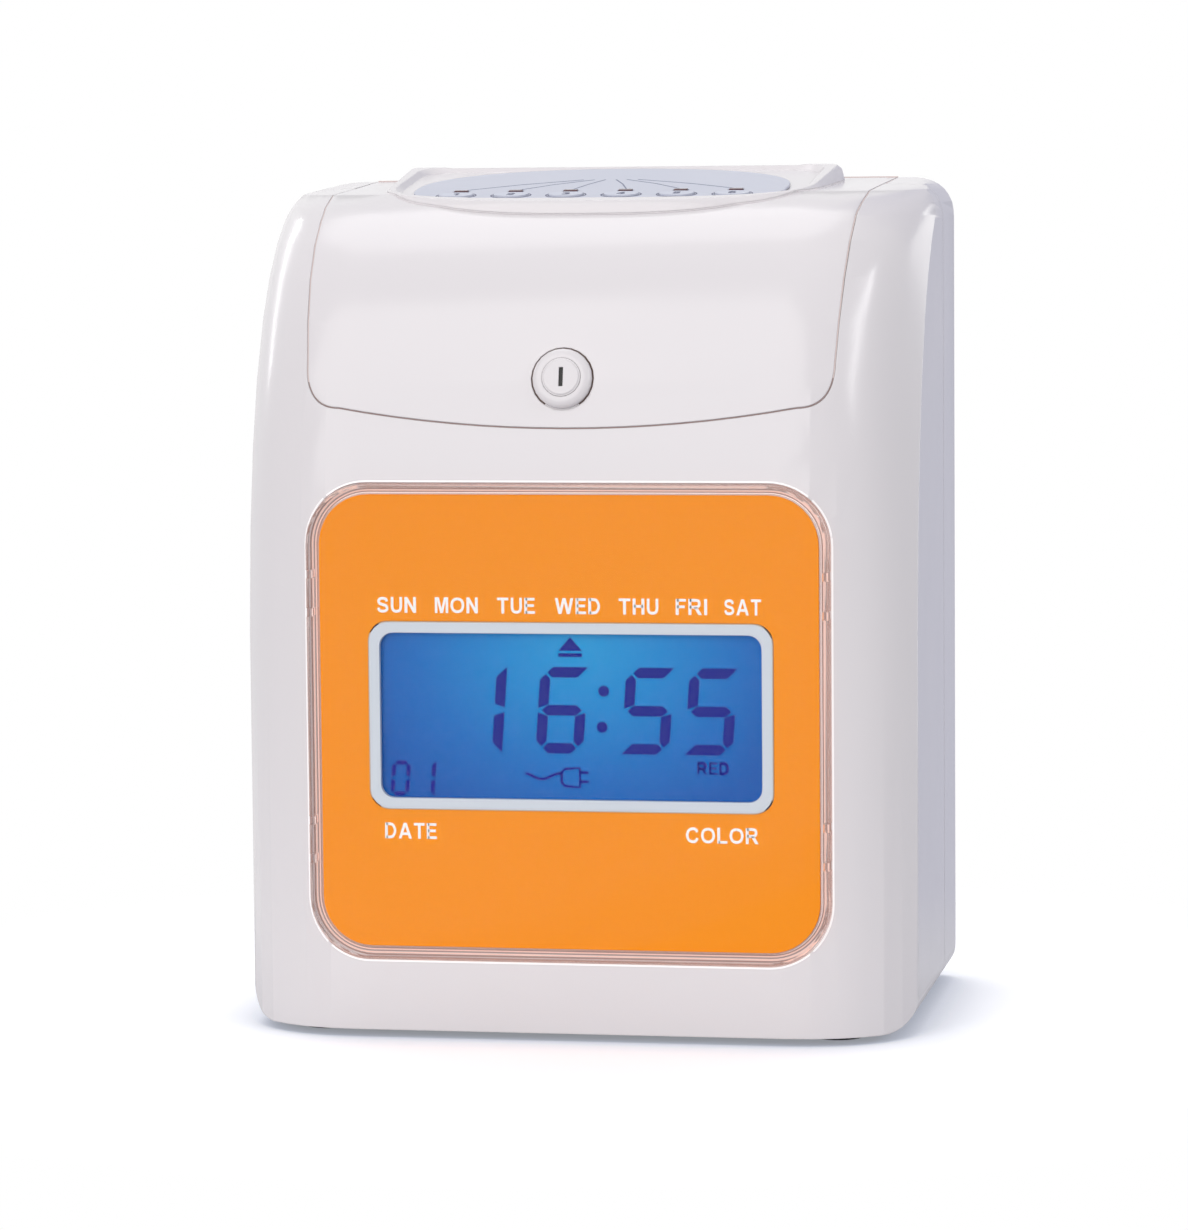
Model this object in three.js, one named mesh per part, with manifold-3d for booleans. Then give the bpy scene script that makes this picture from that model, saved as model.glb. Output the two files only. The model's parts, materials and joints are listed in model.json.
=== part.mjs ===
// A punch-card time clock: two-part moulded case, lockable flip lid with a card collar, clear display
// window, and the printing and card-feeding mechanism inside. Millimetres, +Z up, the front faces -Y,
// and the origin is on the standing surface under the middle of the case.
import * as THREE from 'three';
import { mergeVertices } from 'three/addons/utils/BufferGeometryUtils.js';
import Module from 'manifold-3d';

const wasm = await Module();
wasm.setup();

// Whole case
const WIDTH = 178;
const DEPTH = 118;
const HEIGHT = 223;
const WALL = 2.6;
const FIT = 0.3;
const SEAM_GAP = 0.4;
const OVERRUN = 20;
const CASE_LIFT = 2;
const HALF_WIDTH = WIDTH / 2;
const FRONT_Y = -DEPTH / 2;
const BACK_Y = DEPTH / 2;
const FACE_SET_BACK = 1;
const FACE_Y = FRONT_Y + FACE_SET_BACK;
const REAR_DEPTH = 34;
const SEAM_Y = BACK_Y - REAR_DEPTH;

// Curved front: a flat middle that turns back at the shoulders and leans back up to a soft crease,
// from which the top rises gently to the back
const FACE_FLAT_HALF = 56;
const SHOULDER_TURN_HALF = 80;
const SHOULDER_DEPTH = 19.7;
const CREASE_DROP = 3.4;
const CREASE_Z = HEIGHT - CREASE_DROP;
const MIDDLE_LEAN = 48;
const EDGE_LEAN = 63;
const TOP_FLAT = 6.2;
const middleLeanShares = [[0, 0.5], [0, 0.81], [0.167, 0.965], [1, 1]];
const edgeLeanShares = [[0, 0.41], [0, 0.783], [0.381, 0.959], [1, 1]];
const ringHeightShares = [0.48, 0.6, 0.7, 0.78, 0.85, 0.9, 0.94, 0.97, 0.985, 1];
const TOP_CORNER_RADIUS = 11;
const LOW_CORNER_RADIUS = 8;
const BACK_CORNER_RADIUS = 6;
const BACK_EDGE_RADIUS = 3.3;

// Flip lid: its outline on the front, its hinge along the back edge
const LID_FOOT_HALF = 69.3;
const LID_SHOULDER_HALF = 71.5;
const LID_TOP_HALF = 73.5;
const LID_FOOT_DROP = 47;
const LID_FOOT_Z = HEIGHT - LID_FOOT_DROP;
const LID_CORNER_DROP = 11.4;
const LID_CORNER_Z = LID_FOOT_Z - LID_CORNER_DROP;
const LID_CORNER_HALF = 60;
const LID_LOWEST_DROP = 16.6;
const LID_LOWEST_Z = LID_FOOT_Z - LID_LOWEST_DROP;
const LID_SHOULDER_DROP = 9;
const LID_SHOULDER_Z = HEIGHT - LID_SHOULDER_DROP;
const HINGE_BARREL_RADIUS = 3.3;
const HINGE_ROD_RADIUS = 1.3;
const HINGE_EAR_WIDTH = 6;
const HINGE_EAR_DEPTH = 9;
const HINGE_Y = BACK_Y - HINGE_BARREL_RADIUS;
const HINGE_Z = HEIGHT - HINGE_BARREL_RADIUS;

// Card slot and chute
const CARD_SLOT_HALF = 45.5;
const CARD_GAP = 5;
const CARD_INSET = 16;
const CARD_Y = BACK_Y - CARD_INSET;
const CHUTE_PLATE = 1.5;
const CHUTE_TOP_DROP = 10;
const CHUTE_TOP_Z = HEIGHT - CHUTE_TOP_DROP;
const CHUTE_FOOT_Z = 12;
const SLOT_FRONT_Y = CARD_Y - CARD_GAP / 2;
const SLOT_BACK_Y = CARD_Y + CARD_GAP / 2;

// Card collar and label plate, in a frame tilted towards the user
const COLLAR_TILT = THREE.MathUtils.degToRad(8.4);
const COLLAR_SINK = 1.45;
const COLLAR_SETBACK = 43;
const COLLAR_Y = CARD_Y - COLLAR_SETBACK;
const COLLAR_Z = HEIGHT - COLLAR_SINK;
const COLLAR_HALF = 60.5;
const COLLAR_FLARE = 1.2;
const COLLAR_FRONT = 28.3;
const COLLAR_BACK = 38.6;
const COLLAR_WAIST = 6;
const COLLAR_CORNER = 2.4;
const COLLAR_SKIRT = 12;
const COLLAR_FLANGE = 4.2;
const COLLAR_SQUARENESS = 2.7;
const COLLAR_DRAFT = 2.6;
const collarEdgeShares = [[1, 0], [0.32, 0.3], [0.1, 0.5], [0, 0.92]];
const DISH_HALF = 56.4;
const DISH_FRONT = 20.9;
const DISH_BACK = 36.8;
const DISH_CORNER = 8;
const DISH_SQUARENESS = 3.2;
const DISH_SLOPE = 1.4;
const DISH_DEPTH = 1.4;
const DISH_FLOOR = 2.2;
const LABEL_HALF = 50.5;
const LABEL_MARGIN = 0.8;
const LABEL_WAIST = 1;
const LABEL_FRONT_SQUARENESS = 3.6;
const LABEL_BACK_SQUARENESS = 2.2;
const LABEL_THICK = 0.5;
const KEY_PITCH = 14.9;
const KEY_COUNT = 6;
const KEY_WIDTH = 9.2;
const KEY_LENGTH = 7;
const KEY_ROW = -12.3;
const KEY_PROUD = 0.4;
const KEY_FLANGE = 0.9;
const KEY_TRAVEL = 0.6;
const LAMP_ROW = -5;
const LAMP_WIDTH = 3.6;
const LAMP_LENGTH = 1.6;
const LAMP_PROUD = 0.3;
const LAMP_BAR = 1.2;
const KEY_BOARD_HALF = 47;
const KEY_BOARD_LENGTH = 24;
const BOARD_THICK = 1.6;
const BOARD_POST_RADIUS = 2.4;

// Key lock in the lid
const LOCK_X = -1;
const LOCK_DROP = 3.8;
const LOCK_Z = LID_FOOT_Z - LOCK_DROP;
const LOCK_TILT = THREE.MathUtils.degToRad(14);
const LOCK_BEZEL_RADIUS = 7.8;
const LOCK_BEZEL_HEIGHT = 1.9;
const LOCK_BEZEL_EDGE = 0.4;
const LOCK_BEZEL_LIP = 0.4;
const LOCK_SINK = 0.9;
const LOCK_GROOVE = 0.45;
const LOCK_BODY_RADIUS = 5.8;
const LOCK_CYLINDER_RADIUS = 4.8;
const LOCK_CYLINDER_CHAMFER = 0.3;
const LOCK_BODY_LENGTH = 12;
const LOCK_CYLINDER_PROUD = 0.5;
const KEYWAY_WIDTH = 1.1;
const KEYWAY_HEIGHT = 5;
const KEYWAY_DEPTH = 6;
const LOCK_NUT_RADIUS = 9;
const LOCK_NUT_THICK = 2.4;
const LOCK_CAM_THICK = 1.6;
const LOCK_CAM_REACH = 17;
const LOCK_CAM_WIDTH = 9;
const LOCK_CAM_CORNER = 4;

// Display window and what lies behind it
const WINDOW_HALF = 68.6;
const WINDOW_LOW_Z = 20.9;
const WINDOW_DROP = 14.2;
const WINDOW_HIGH_Z = LID_LOWEST_Z - WINDOW_DROP;
const WINDOW_RADIUS = 16;
const WINDOW_RIM = 2.65;
const WINDOW_DEPTH = 5.2;
const WINDOW_FACE = 3.3;
const WINDOW_BEVEL = 0.9;
const SEAT_MARGIN = 3.5;
const TONGUE_UPPER_DROP = 28.6;
const TONGUE_UPPER_Z = WINDOW_HIGH_Z - TONGUE_UPPER_DROP;
const TONGUE_LOWER_RISE = 31.1;
const TONGUE_LOWER_Z = WINDOW_LOW_Z + TONGUE_LOWER_RISE;
const TONGUE_WIDTH = 7.8;
const TONGUE_NOTCH = 2.2;
const TONGUE_NOTCH_DEPTH = 1.6;
const DISPLAY_X = 0.5;
const DISPLAY_RISE = 1.55;
const DISPLAY_Z = (WINDOW_LOW_Z + WINDOW_HIGH_Z) / 2 + DISPLAY_RISE;
const BEZEL_WIDTH = 106;
const BEZEL_HEIGHT = 48.7;
const BEZEL_BORDER = 2.7;
const BEZEL_RADIUS = 5;
const GLASS_THICK = 2;
const GLASS_MARGIN = 0.8;
const BACKLIGHT_THICK = 3.2;
const DISPLAY_BOARD_WIDTH = 124;
const DISPLAY_BOARD_HEIGHT = 60;

// Buttons for setting the clock, under the lid
const SETTING_X = 35;
const SETTING_SPREAD = 7;
const SETTING_BOARD_WIDTH = 30;
const SETTING_BOARD_LENGTH = 14;
const SETTING_DROP = 5.4;
const SETTING_Z = LID_LOWEST_Z - SETTING_DROP;
const SWITCH_SIDE = 6;
const SWITCH_HEIGHT = 3.5;
const BUTTON_RADIUS = 3;
const BUTTON_STEM_RADIUS = 1.6;
const BUTTON_HEIGHT = 2.6;
const BUTTON_TRAVEL = 0.4;
const GUSSET_THICK = 2;
const GUSSET_HEIGHT = 8;

// Chassis
const SIDE_PLATE_X = 66;
const PLATE = 1.5;
const CHASSIS_FRONT_INSET = 16;
const CHASSIS_FRONT_Y = FRONT_Y + CHASSIS_FRONT_INSET;
const CHASSIS_BACK_INSET = 5;
const CHASSIS_BACK_Y = BACK_Y - CHASSIS_BACK_INSET;
const SIDE_PLATE_REACH = 60;
const SIDE_PLATE_FRONT_Y = CHASSIS_BACK_Y - SIDE_PLATE_REACH;
const SIDE_PLATE_DROP = 18;
const SIDE_PLATE_TOP_Z = HEIGHT - SIDE_PLATE_DROP;
const SIDE_PLATE_STEP = 27;
const SIDE_PLATE_SHOULDER_Z = SIDE_PLATE_TOP_Z - SIDE_PLATE_STEP;
const SIDE_PLATE_TOP_REACH = 30;
const SIDE_PLATE_SHOULDER_Y = CHASSIS_BACK_Y - SIDE_PLATE_TOP_REACH;

// Print mechanism
const PRINT_DROP = 73;
const PRINT_Z = HEIGHT - PRINT_DROP;
const PRINT_WINDOW_HALF = 47;
const PRINT_WINDOW_HEIGHT = 16;
const PLATEN_DEPTH = 8;
const ROD_SETBACK = 29;
const ROD_Y = CARD_Y - ROD_SETBACK;
const LOWER_ROD_DROP = 16;
const LOWER_ROD_Z = PRINT_Z - LOWER_ROD_DROP;
const UPPER_ROD_RISE = 11;
const UPPER_ROD_Z = PRINT_Z + UPPER_ROD_RISE;
const LOWER_ROD_RADIUS = 3;
const UPPER_ROD_RADIUS = 2.5;
const CARRIAGE_HALF = 13;
const CARRIAGE_DEPTH = 20;
const CARRIAGE_FOOT = 7;
const CARRIAGE_LOW_Z = LOWER_ROD_Z - CARRIAGE_FOOT;
const CARRIAGE_HEAD = 6;
const CARRIAGE_HIGH_Z = UPPER_ROD_Z + CARRIAGE_HEAD;
const HEAD_HALF = 9;
const HEAD_HEIGHT = 22;
const NOSE_HALF = 3.5;
const NOSE_LENGTH = 4;
const RIBBON_THICK = 0.6;
const RIBBON_HEIGHT = 12;
const RIBBON_GAP = 0.9;
const CROSS_PLATE_SETBACK = 19;
const CROSS_PLATE_Y = ROD_Y - CROSS_PLATE_SETBACK;
const CROSS_PLATE_FOOT = 14;
const CROSS_PLATE_LOW_Z = LOWER_ROD_Z - CROSS_PLATE_FOOT;
const CROSS_PLATE_HEAD = 10;
const CROSS_PLATE_HIGH_Z = UPPER_ROD_Z + CROSS_PLATE_HEAD;
const PULLEY_X = 56;
const PULLEY_DROP = 2;
const PULLEY_Z = PRINT_Z - PULLEY_DROP;
const PULLEY_RADIUS = 6;
const PULLEY_FLANGE = 1.4;
const BELT_WIDTH = 5;
const BELT_THICK = 1.2;
const MOTOR_OFFSET = 4;
const MOTOR_RADIUS = 13;
const MOTOR_LENGTH = 24;
const MOTOR_SHAFT_RADIUS = 1.5;
const TRAY_RISE = 6;
const TRAY_Z = CARRIAGE_HIGH_Z + TRAY_RISE;
const CASSETTE_HALF = 52;
const CASSETTE_HEIGHT = 13.5;
const CASSETTE_REACH = 15;
const CASSETTE_FRONT_Y = ROD_Y - CASSETTE_REACH;
const CASSETTE_ARM = 5.5;
const ARM_SETBACK = 12;
const ARM_FRONT_Y = CARD_Y - ARM_SETBACK;
const KNOB_X = 32;
const KNOB_RADIUS = 7;
const KNOB_HEIGHT = 5;
const KNOB_STEM_RADIUS = 2.5;
const KNOB_LOBES = 10;

// Card feed
const FEED_Z = 80;
const FEED_WHEEL_RADIUS = 6.5;
const FEED_WHEEL_X = 25;
const FEED_WHEEL_WIDTH = 12;
const FEED_SHAFT_RADIUS = 2;
const PINCH_WHEEL_RADIUS = 5;
const PINCH_SHAFT_RADIUS = 2;
const PINCH_HALF = 36;
const GEAR_MODULE = 1;
const GEAR_TEETH = 32;
const PINION_TEETH = 12;
const GEAR_THICK = 4;
const GEAR_PLAY = 0.35;
const TOOTH_TIP = 0.9;
const TOOTH_ROOT = 1.25;
const TOOTH_ROOT_SHARE = 0.34;
const TOOTH_TIP_SHARE = 0.11;
const FEED_MOTOR_RADIUS = 10.4;
const FEED_MOTOR_LENGTH = 25;

// Power and boards
const MAIN_BOARD_INSET = 18;
const MAIN_BOARD_Y = FACE_Y + MAIN_BOARD_INSET;
const MAIN_BOARD_HALF = 58;
const MAIN_BOARD_SPARE = 16;
const MAIN_BOARD_HEIGHT = CROSS_PLATE_LOW_Z - MAIN_BOARD_SPARE;
const TRANSFORMER_X = -40;
const TRANSFORMER_INSET = 31;
const TRANSFORMER_Y = CHASSIS_FRONT_Y + TRANSFORMER_INSET;
const TRANSFORMER_WIDTH = 36;
const TRANSFORMER_DEPTH = 20;
const TRANSFORMER_HEIGHT = 30;
const COIL_WIDTH = 24;
const COIL_DEPTH = 32;
const COIL_HEIGHT = 20;
const CELL_RADIUS = 5.2;
const CELL_LENGTH = 44;
const CELL_PITCH = 10;
const CELL_COUNT = 3;
const BATTERY_X = 36;
const BATTERY_INSET = 31;
const BATTERY_Y = CHASSIS_FRONT_Y + BATTERY_INSET;
const INLET_X = -52;
const INLET_Z = 24;
const INLET_WIDTH = 19;
const INLET_HEIGHT = 11.5;
const INLET_DEPTH = 11.4;
const INLET_WALL = 1.3;
const INLET_CAVITY = 9;
const PIN_RADIUS = 1.2;
const PIN_SPREAD = 4.3;

// Back of the case
const KEYHOLE_X = 50;
const KEYHOLE_DROP = 55;
const KEYHOLE_Z = HEIGHT - KEYHOLE_DROP;
const KEYHOLE_RADIUS = 4.5;
const KEYHOLE_SLOT_RADIUS = 2.2;
const KEYHOLE_RISE = 8;
const SCREW_X = 80;
const SCREW_LOW_Z = 14;
const SCREW_DROP = 17;
const SCREW_HIGH_Z = HEIGHT - SCREW_DROP;
const SCREW_BOSS_RADIUS = 4;
const SCREW_HEAD_RADIUS = 3;
const SCREW_HEAD_DEPTH = 1.4;
const FOOT_X = 68;
const FOOT_FRONT_INSET = 19;
const FOOT_FRONT_Y = FRONT_Y + FOOT_FRONT_INSET;
const FOOT_BACK_INSET = 13;
const FOOT_BACK_Y = BACK_Y - FOOT_BACK_INSET;
const FOOT_RADIUS = 7;
const FOOT_RECESS = 1.2;

// Roundness: straight steps in a curve, and how far a surface may stray when its faces are merged
const FINE = 24;
const COARSE = 16;
const CORNER_STEPS = 3;
const EVENNESS = 0.04;

const part = new THREE.Group();

// Finishes
function finish(color, roughness, metalness = 0) {
  return { color, roughness, metalness };
}
const CASE_PLASTIC = finish(0xe2dee2, 0.35);
const CLEAR_PLASTIC = finish(0xe8ecf4, 0.08);
const PANEL_ORANGE = finish(0xf08a30, 0.45);
const BEZEL_SILVER = finish(0xc6ceda, 0.35, 0.3);
const GLASS_BLUE = finish(0x2f7fc8, 0.12);
const LABEL_BLUE = finish(0xd9dfec, 0.4);
const KEY_GREY = finish(0xc9cfdc, 0.45);
const LAMP_RED = finish(0x8f3038, 0.25);
const LOCK_WHITE = finish(0xe2dee2, 0.25);
const STEEL = finish(0xb4b8bc, 0.38, 1);
const BOARD_GREEN = finish(0x2c6a3e, 0.55);
const BLACK_PLASTIC = finish(0x1c1c1f, 0.5);
const RUBBER = finish(0x242424, 0.9);
const GEAR_WHITE = finish(0xe9e6da, 0.5);
const INK = finish(0x2a1830, 0.95);
const CELL_SLEEVE = finish(0x3f8fb0, 0.4);

// Turns a closed three.js geometry into a solid that can be joined and cut.
function solid(geometry) {
  const bare = geometry.clone();
  bare.deleteAttribute('normal');
  bare.deleteAttribute('uv');
  const merged = mergeVertices(bare, 1e-4);
  return new wasm.Manifold(new wasm.Mesh({
    numProp: 3,
    vertProperties: merged.attributes.position.array,
    triVerts: new Uint32Array(merged.index.array),
  }));
}

// Adds a solid to a group as a named mesh in its own finish.
function addPiece(group, name, body, look) {
  const mesh = body.simplify(EVENNESS).getMesh();
  const geometry = new THREE.BufferGeometry();
  geometry.setAttribute('position',
    new THREE.BufferAttribute(new Float32Array(mesh.vertProperties), 3));
  geometry.setIndex(new THREE.BufferAttribute(new Uint32Array(mesh.triVerts), 1));
  geometry.computeVertexNormals();
  const piece = new THREE.Mesh(geometry, new THREE.MeshStandardMaterial(look));
  piece.name = name;
  group.add(piece);
  return piece;
}

// Basic solids. A block is given by its low and high corners.
function block(low, high) {
  const size = high.map((value, axis) => value - low[axis]);
  const middle = high.map((value, axis) => (value + low[axis]) / 2);
  return solid(new THREE.BoxGeometry(...size).translate(...middle));
}

function prismAlongX(outline, lowX, highX, steps = COARSE) {
  const geometry = new THREE.ExtrudeGeometry(outline,
    { depth: highX - lowX, bevelEnabled: false, curveSegments: steps });
  const axes = [new THREE.Vector3(0, 1, 0), new THREE.Vector3(0, 0, 1), new THREE.Vector3(1, 0, 0)];
  geometry.applyMatrix4(new THREE.Matrix4().makeBasis(...axes));
  return solid(geometry.translate(lowX, 0, 0));
}

function prismAlongY(outline, lowY, highY, steps = COARSE) {
  const geometry = new THREE.ExtrudeGeometry(outline,
    { depth: highY - lowY, bevelEnabled: false, curveSegments: steps });
  return solid(geometry.rotateX(Math.PI / 2).translate(0, highY, 0));
}

function prismAlongZ(outline, lowZ, highZ, steps = COARSE) {
  const geometry = new THREE.ExtrudeGeometry(outline,
    { depth: highZ - lowZ, bevelEnabled: false, curveSegments: steps });
  return solid(geometry.translate(0, 0, lowZ));
}

function disc(radius, u = 0, v = 0) {
  const outline = new THREE.Shape();
  outline.absarc(u, v, radius, 0, 2 * Math.PI, false);
  return outline;
}

function rodAlongX(radius, lowX, highX, y, z, steps = COARSE) {
  const geometry = new THREE.CylinderGeometry(radius, radius, highX - lowX, steps);
  return solid(geometry.rotateZ(Math.PI / 2).translate((lowX + highX) / 2, y, z));
}

function rodAlongY(radius, lowY, highY, x, z, steps = COARSE) {
  const geometry = new THREE.CylinderGeometry(radius, radius, highY - lowY, steps);
  return solid(geometry.translate(x, (lowY + highY) / 2, z));
}

function rodAlongZ(radius, lowZ, highZ, x, y, steps = COARSE) {
  const geometry = new THREE.CylinderGeometry(radius, radius, highZ - lowZ, steps);
  return solid(geometry.rotateX(Math.PI / 2).translate(x, y, (lowZ + highZ) / 2));
}

// A rectangle with round corners, from its middle, width, height and corner radius.
function roundedRectangle(u, v, width, height, radius) {
  const right = u + width / 2;
  const left = u - width / 2;
  const high = v + height / 2;
  const low = v - height / 2;
  const outline = new THREE.Shape();
  outline.moveTo(left + radius, low);
  outline.lineTo(right - radius, low);
  outline.absarc(right - radius, low + radius, radius, -Math.PI / 2, 0, false);
  outline.lineTo(right, high - radius);
  outline.absarc(right - radius, high - radius, radius, 0, Math.PI / 2, false);
  outline.lineTo(left + radius, high);
  outline.absarc(left + radius, high - radius, radius, Math.PI / 2, Math.PI, false);
  outline.lineTo(left, low + radius);
  outline.absarc(left + radius, low + radius, radius, Math.PI, 1.5 * Math.PI, false);
  return outline;
}

function outlineOf(points) {
  return new THREE.Shape(points.map(([u, v]) => new THREE.Vector2(u, v)));
}

// How far back the front has leaned at a height, as a share of its whole lean. Both are shares.
function leanShare(shares, heightShare) {
  const [a, b, c, d] = shares.map(([lean, height]) => new THREE.Vector2(lean, height));
  const curve = new THREE.CubicBezierCurve(a, b, c, d);
  if (heightShare <= a.y) {
    return 0;
  }
  let low = 0;
  let high = 1;
  while (high - low > 1e-6) {
    const middle = (low + high) / 2;
    if (curve.getPoint(middle).y < heightShare) {
      low = middle;
    } else {
      high = middle;
    }
  }
  return curve.getPoint(high).x;
}

function faceY(z, inset = 0) {
  return FACE_Y + inset + MIDDLE_LEAN * leanShare(middleLeanShares, z / (CREASE_Z - inset));
}

// One level of the case seen from above, drawn in by the inset, counter-clockwise from the front right.
function caseRing(z, inset) {
  const onTop = z > CREASE_Z - inset;
  const edgeLean = EDGE_LEAN * leanShare(edgeLeanShares, Math.min(z / (CREASE_Z - inset), 1));
  const middle = onTop ? BACK_Y - TOP_FLAT : faceY(z, inset);
  const edge = onTop ? BACK_Y - TOP_FLAT : FACE_Y + SHOULDER_DEPTH + inset / 2 + edgeLean;
  const side = HALF_WIDTH - inset;
  const back = BACK_Y - inset;
  const radius = BACK_CORNER_RADIUS - inset;
  const shoulder = new THREE.QuadraticBezierCurve(
    new THREE.Vector2(FACE_FLAT_HALF, middle),
    new THREE.Vector2(SHOULDER_TURN_HALF - inset / 2, middle),
    new THREE.Vector2(side, edge),
  ).getPoints(2 * CORNER_STEPS);
  const corner = new THREE.EllipseCurve(side - radius, back - radius, radius, radius, 0, Math.PI / 2)
    .getPoints(CORNER_STEPS);
  const right = [...shoulder, ...corner];
  const left = right.map((point) => new THREE.Vector2(-point.x, point.y)).reverse();
  return [...right, ...left].map((point) => new THREE.Vector3(point.x, point.y, z));
}

// A closed solid through level rings that all have the same number of points.
function loft(rings) {
  const count = rings[0].length;
  const indices = [];
  for (let level = 0; level < rings.length - 1; level += 1) {
    for (let i = 0; i < count; i += 1) {
      const here = level * count + i;
      const next = level * count + (i + 1) % count;
      indices.push(here, next, next + count, here, next + count, here + count);
    }
  }
  const top = (rings.length - 1) * count;
  for (let i = 1; i < count - 1; i += 1) {
    indices.push(0, i + 1, i, top, top + i, top + i + 1);
  }
  const geometry = new THREE.BufferGeometry().setFromPoints(rings.flat());
  geometry.setIndex(indices);
  return solid(geometry);
}

// The whole case as one solid, drawn in by the inset, which is WALL for the inside of the walls.
function caseForm(inset) {
  const floor = CASE_LIFT + inset;
  const top = HEIGHT - inset;
  const crease = CREASE_Z - inset;
  const heights = [floor, ...ringHeightShares.map((share) => share * crease), top];
  const rings = heights.map((z) => caseRing(z, inset));
  const width = WIDTH - 2 * inset;
  const upper = roundedRectangle(0, top - HEIGHT, width, 2 * HEIGHT, TOP_CORNER_RADIUS - inset);
  const lower = roundedRectangle(0, floor + HEIGHT, width, 2 * HEIGHT, LOW_CORNER_RADIUS - inset);
  const reach = DEPTH + OVERRUN;
  const length = reach + BACK_Y - inset;
  const rounded = roundedRectangle(length / 2 - reach, (top + floor) / 2, length, top - floor,
    Math.max(BACK_EDGE_RADIUS - inset, FIT));
  return loft(rings)
    .intersect(prismAlongY(upper, -reach, reach, CORNER_STEPS + 1))
    .intersect(prismAlongY(lower, -reach, reach, CORNER_STEPS + 1))
    .intersect(prismAlongX(rounded, -WIDTH, WIDTH, CORNER_STEPS));
}

// The lid's outline on the front, grown outwards by a gap.
function lidOutline(grow) {
  const top = HEIGHT + COLLAR_SKIRT + OVERRUN;
  const outline = new THREE.Shape();
  outline.moveTo(-LID_TOP_HALF - grow, top);
  outline.lineTo(-LID_TOP_HALF - grow, HEIGHT);
  outline.lineTo(-LID_SHOULDER_HALF - grow, LID_SHOULDER_Z);
  outline.lineTo(-LID_FOOT_HALF - grow, LID_FOOT_Z);
  outline.quadraticCurveTo(-LID_FOOT_HALF - grow, LID_CORNER_Z - grow, -LID_CORNER_HALF,
    LID_CORNER_Z - grow);
  outline.quadraticCurveTo(0, 2 * LID_LOWEST_Z - LID_CORNER_Z - grow, LID_CORNER_HALF,
    LID_CORNER_Z - grow);
  outline.quadraticCurveTo(LID_FOOT_HALF + grow, LID_CORNER_Z - grow, LID_FOOT_HALF + grow, LID_FOOT_Z);
  outline.lineTo(LID_SHOULDER_HALF + grow, LID_SHOULDER_Z);
  outline.lineTo(LID_TOP_HALF + grow, HEIGHT);
  outline.lineTo(LID_TOP_HALF + grow, top);
  return outline;
}

const outerForm = caseForm(0);
const innerForm = caseForm(WALL);
const caseShell = outerForm.subtract(innerForm);

// Where the window cover sits
const WINDOW_HEIGHT = WINDOW_HIGH_Z - WINDOW_LOW_Z;
const WINDOW_Z = (WINDOW_HIGH_Z + WINDOW_LOW_Z) / 2;
const SEAT_Y = FRONT_Y + WINDOW_DEPTH + FIT;
const SEAT_BACK_Y = SEAT_Y + WALL;

function windowOutline(grow) {
  return roundedRectangle(0, WINDOW_Z, 2 * (WINDOW_HALF + grow), WINDOW_HEIGHT + 2 * grow,
    WINDOW_RADIUS + grow);
}

function screwPlaces() {
  const places = [];
  for (const x of [-SCREW_X, SCREW_X]) {
    for (const z of [SCREW_LOW_Z, SCREW_HIGH_Z]) {
      places.push([x, z]);
    }
  }
  return places;
}

function footRecess(x, y) {
  return rodAlongZ(FOOT_RADIUS + FIT, CASE_LIFT - OVERRUN, CASE_LIFT + FOOT_RECESS + FIT, x, y, FINE);
}

// Case front: face, shoulders, sides, and the seat for the window
function frontShell() {
  const frontHalf = block([-WIDTH, -2 * DEPTH, -OVERRUN],
    [WIDTH, SEAM_Y - SEAM_GAP / 2, HEIGHT + OVERRUN]);
  const seatPad = prismAlongY(windowOutline(SEAT_MARGIN), FACE_Y, SEAT_BACK_Y).intersect(outerForm);
  const pocket = prismAlongY(windowOutline(FIT), FRONT_Y - OVERRUN, SEAT_Y);
  const displayHole = block(
    [DISPLAY_X - BEZEL_WIDTH / 2 + FIT, FRONT_Y, DISPLAY_Z - BEZEL_HEIGHT / 2 + FIT],
    [DISPLAY_X + BEZEL_WIDTH / 2 - FIT, SEAT_BACK_Y + OVERRUN, DISPLAY_Z + BEZEL_HEIGHT / 2 - FIT],
  );
  const lidOpening = prismAlongY(lidOutline(SEAM_GAP / 2), -2 * DEPTH, 2 * DEPTH);
  let shell = caseShell.intersect(frontHalf).add(seatPad);
  for (const [x, z] of boardPostPlaces()) {
    shell = shell.add(rodAlongY(BOARD_POST_RADIUS, SEAT_Y + WALL / 2, DISPLAY_BOARD_Y - FIT, x, z));
  }
  shell = shell.subtract(pocket).subtract(displayHole).subtract(lidOpening);
  for (const x of [SETTING_X - SETTING_BOARD_WIDTH / 2,
    SETTING_X + SETTING_BOARD_WIDTH / 2 - GUSSET_THICK]) {
    const rear = SETTING_Y + SETTING_BOARD_LENGTH;
    const gusset = outlineOf([
      [SETTING_Y - WALL, SETTING_Z - FIT],
      [SETTING_Y - WALL, SETTING_Z - GUSSET_HEIGHT],
      [SETTING_Y, SETTING_Z - GUSSET_HEIGHT],
      [rear, SETTING_Z - GUSSET_THICK],
      [rear, SETTING_Z - FIT],
    ]);
    shell = shell.add(prismAlongX(gusset, x, x + GUSSET_THICK));
  }
  for (const x of [-FOOT_X, FOOT_X]) {
    shell = shell.subtract(footRecess(x, FOOT_FRONT_Y));
  }
  return shell;
}

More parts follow.
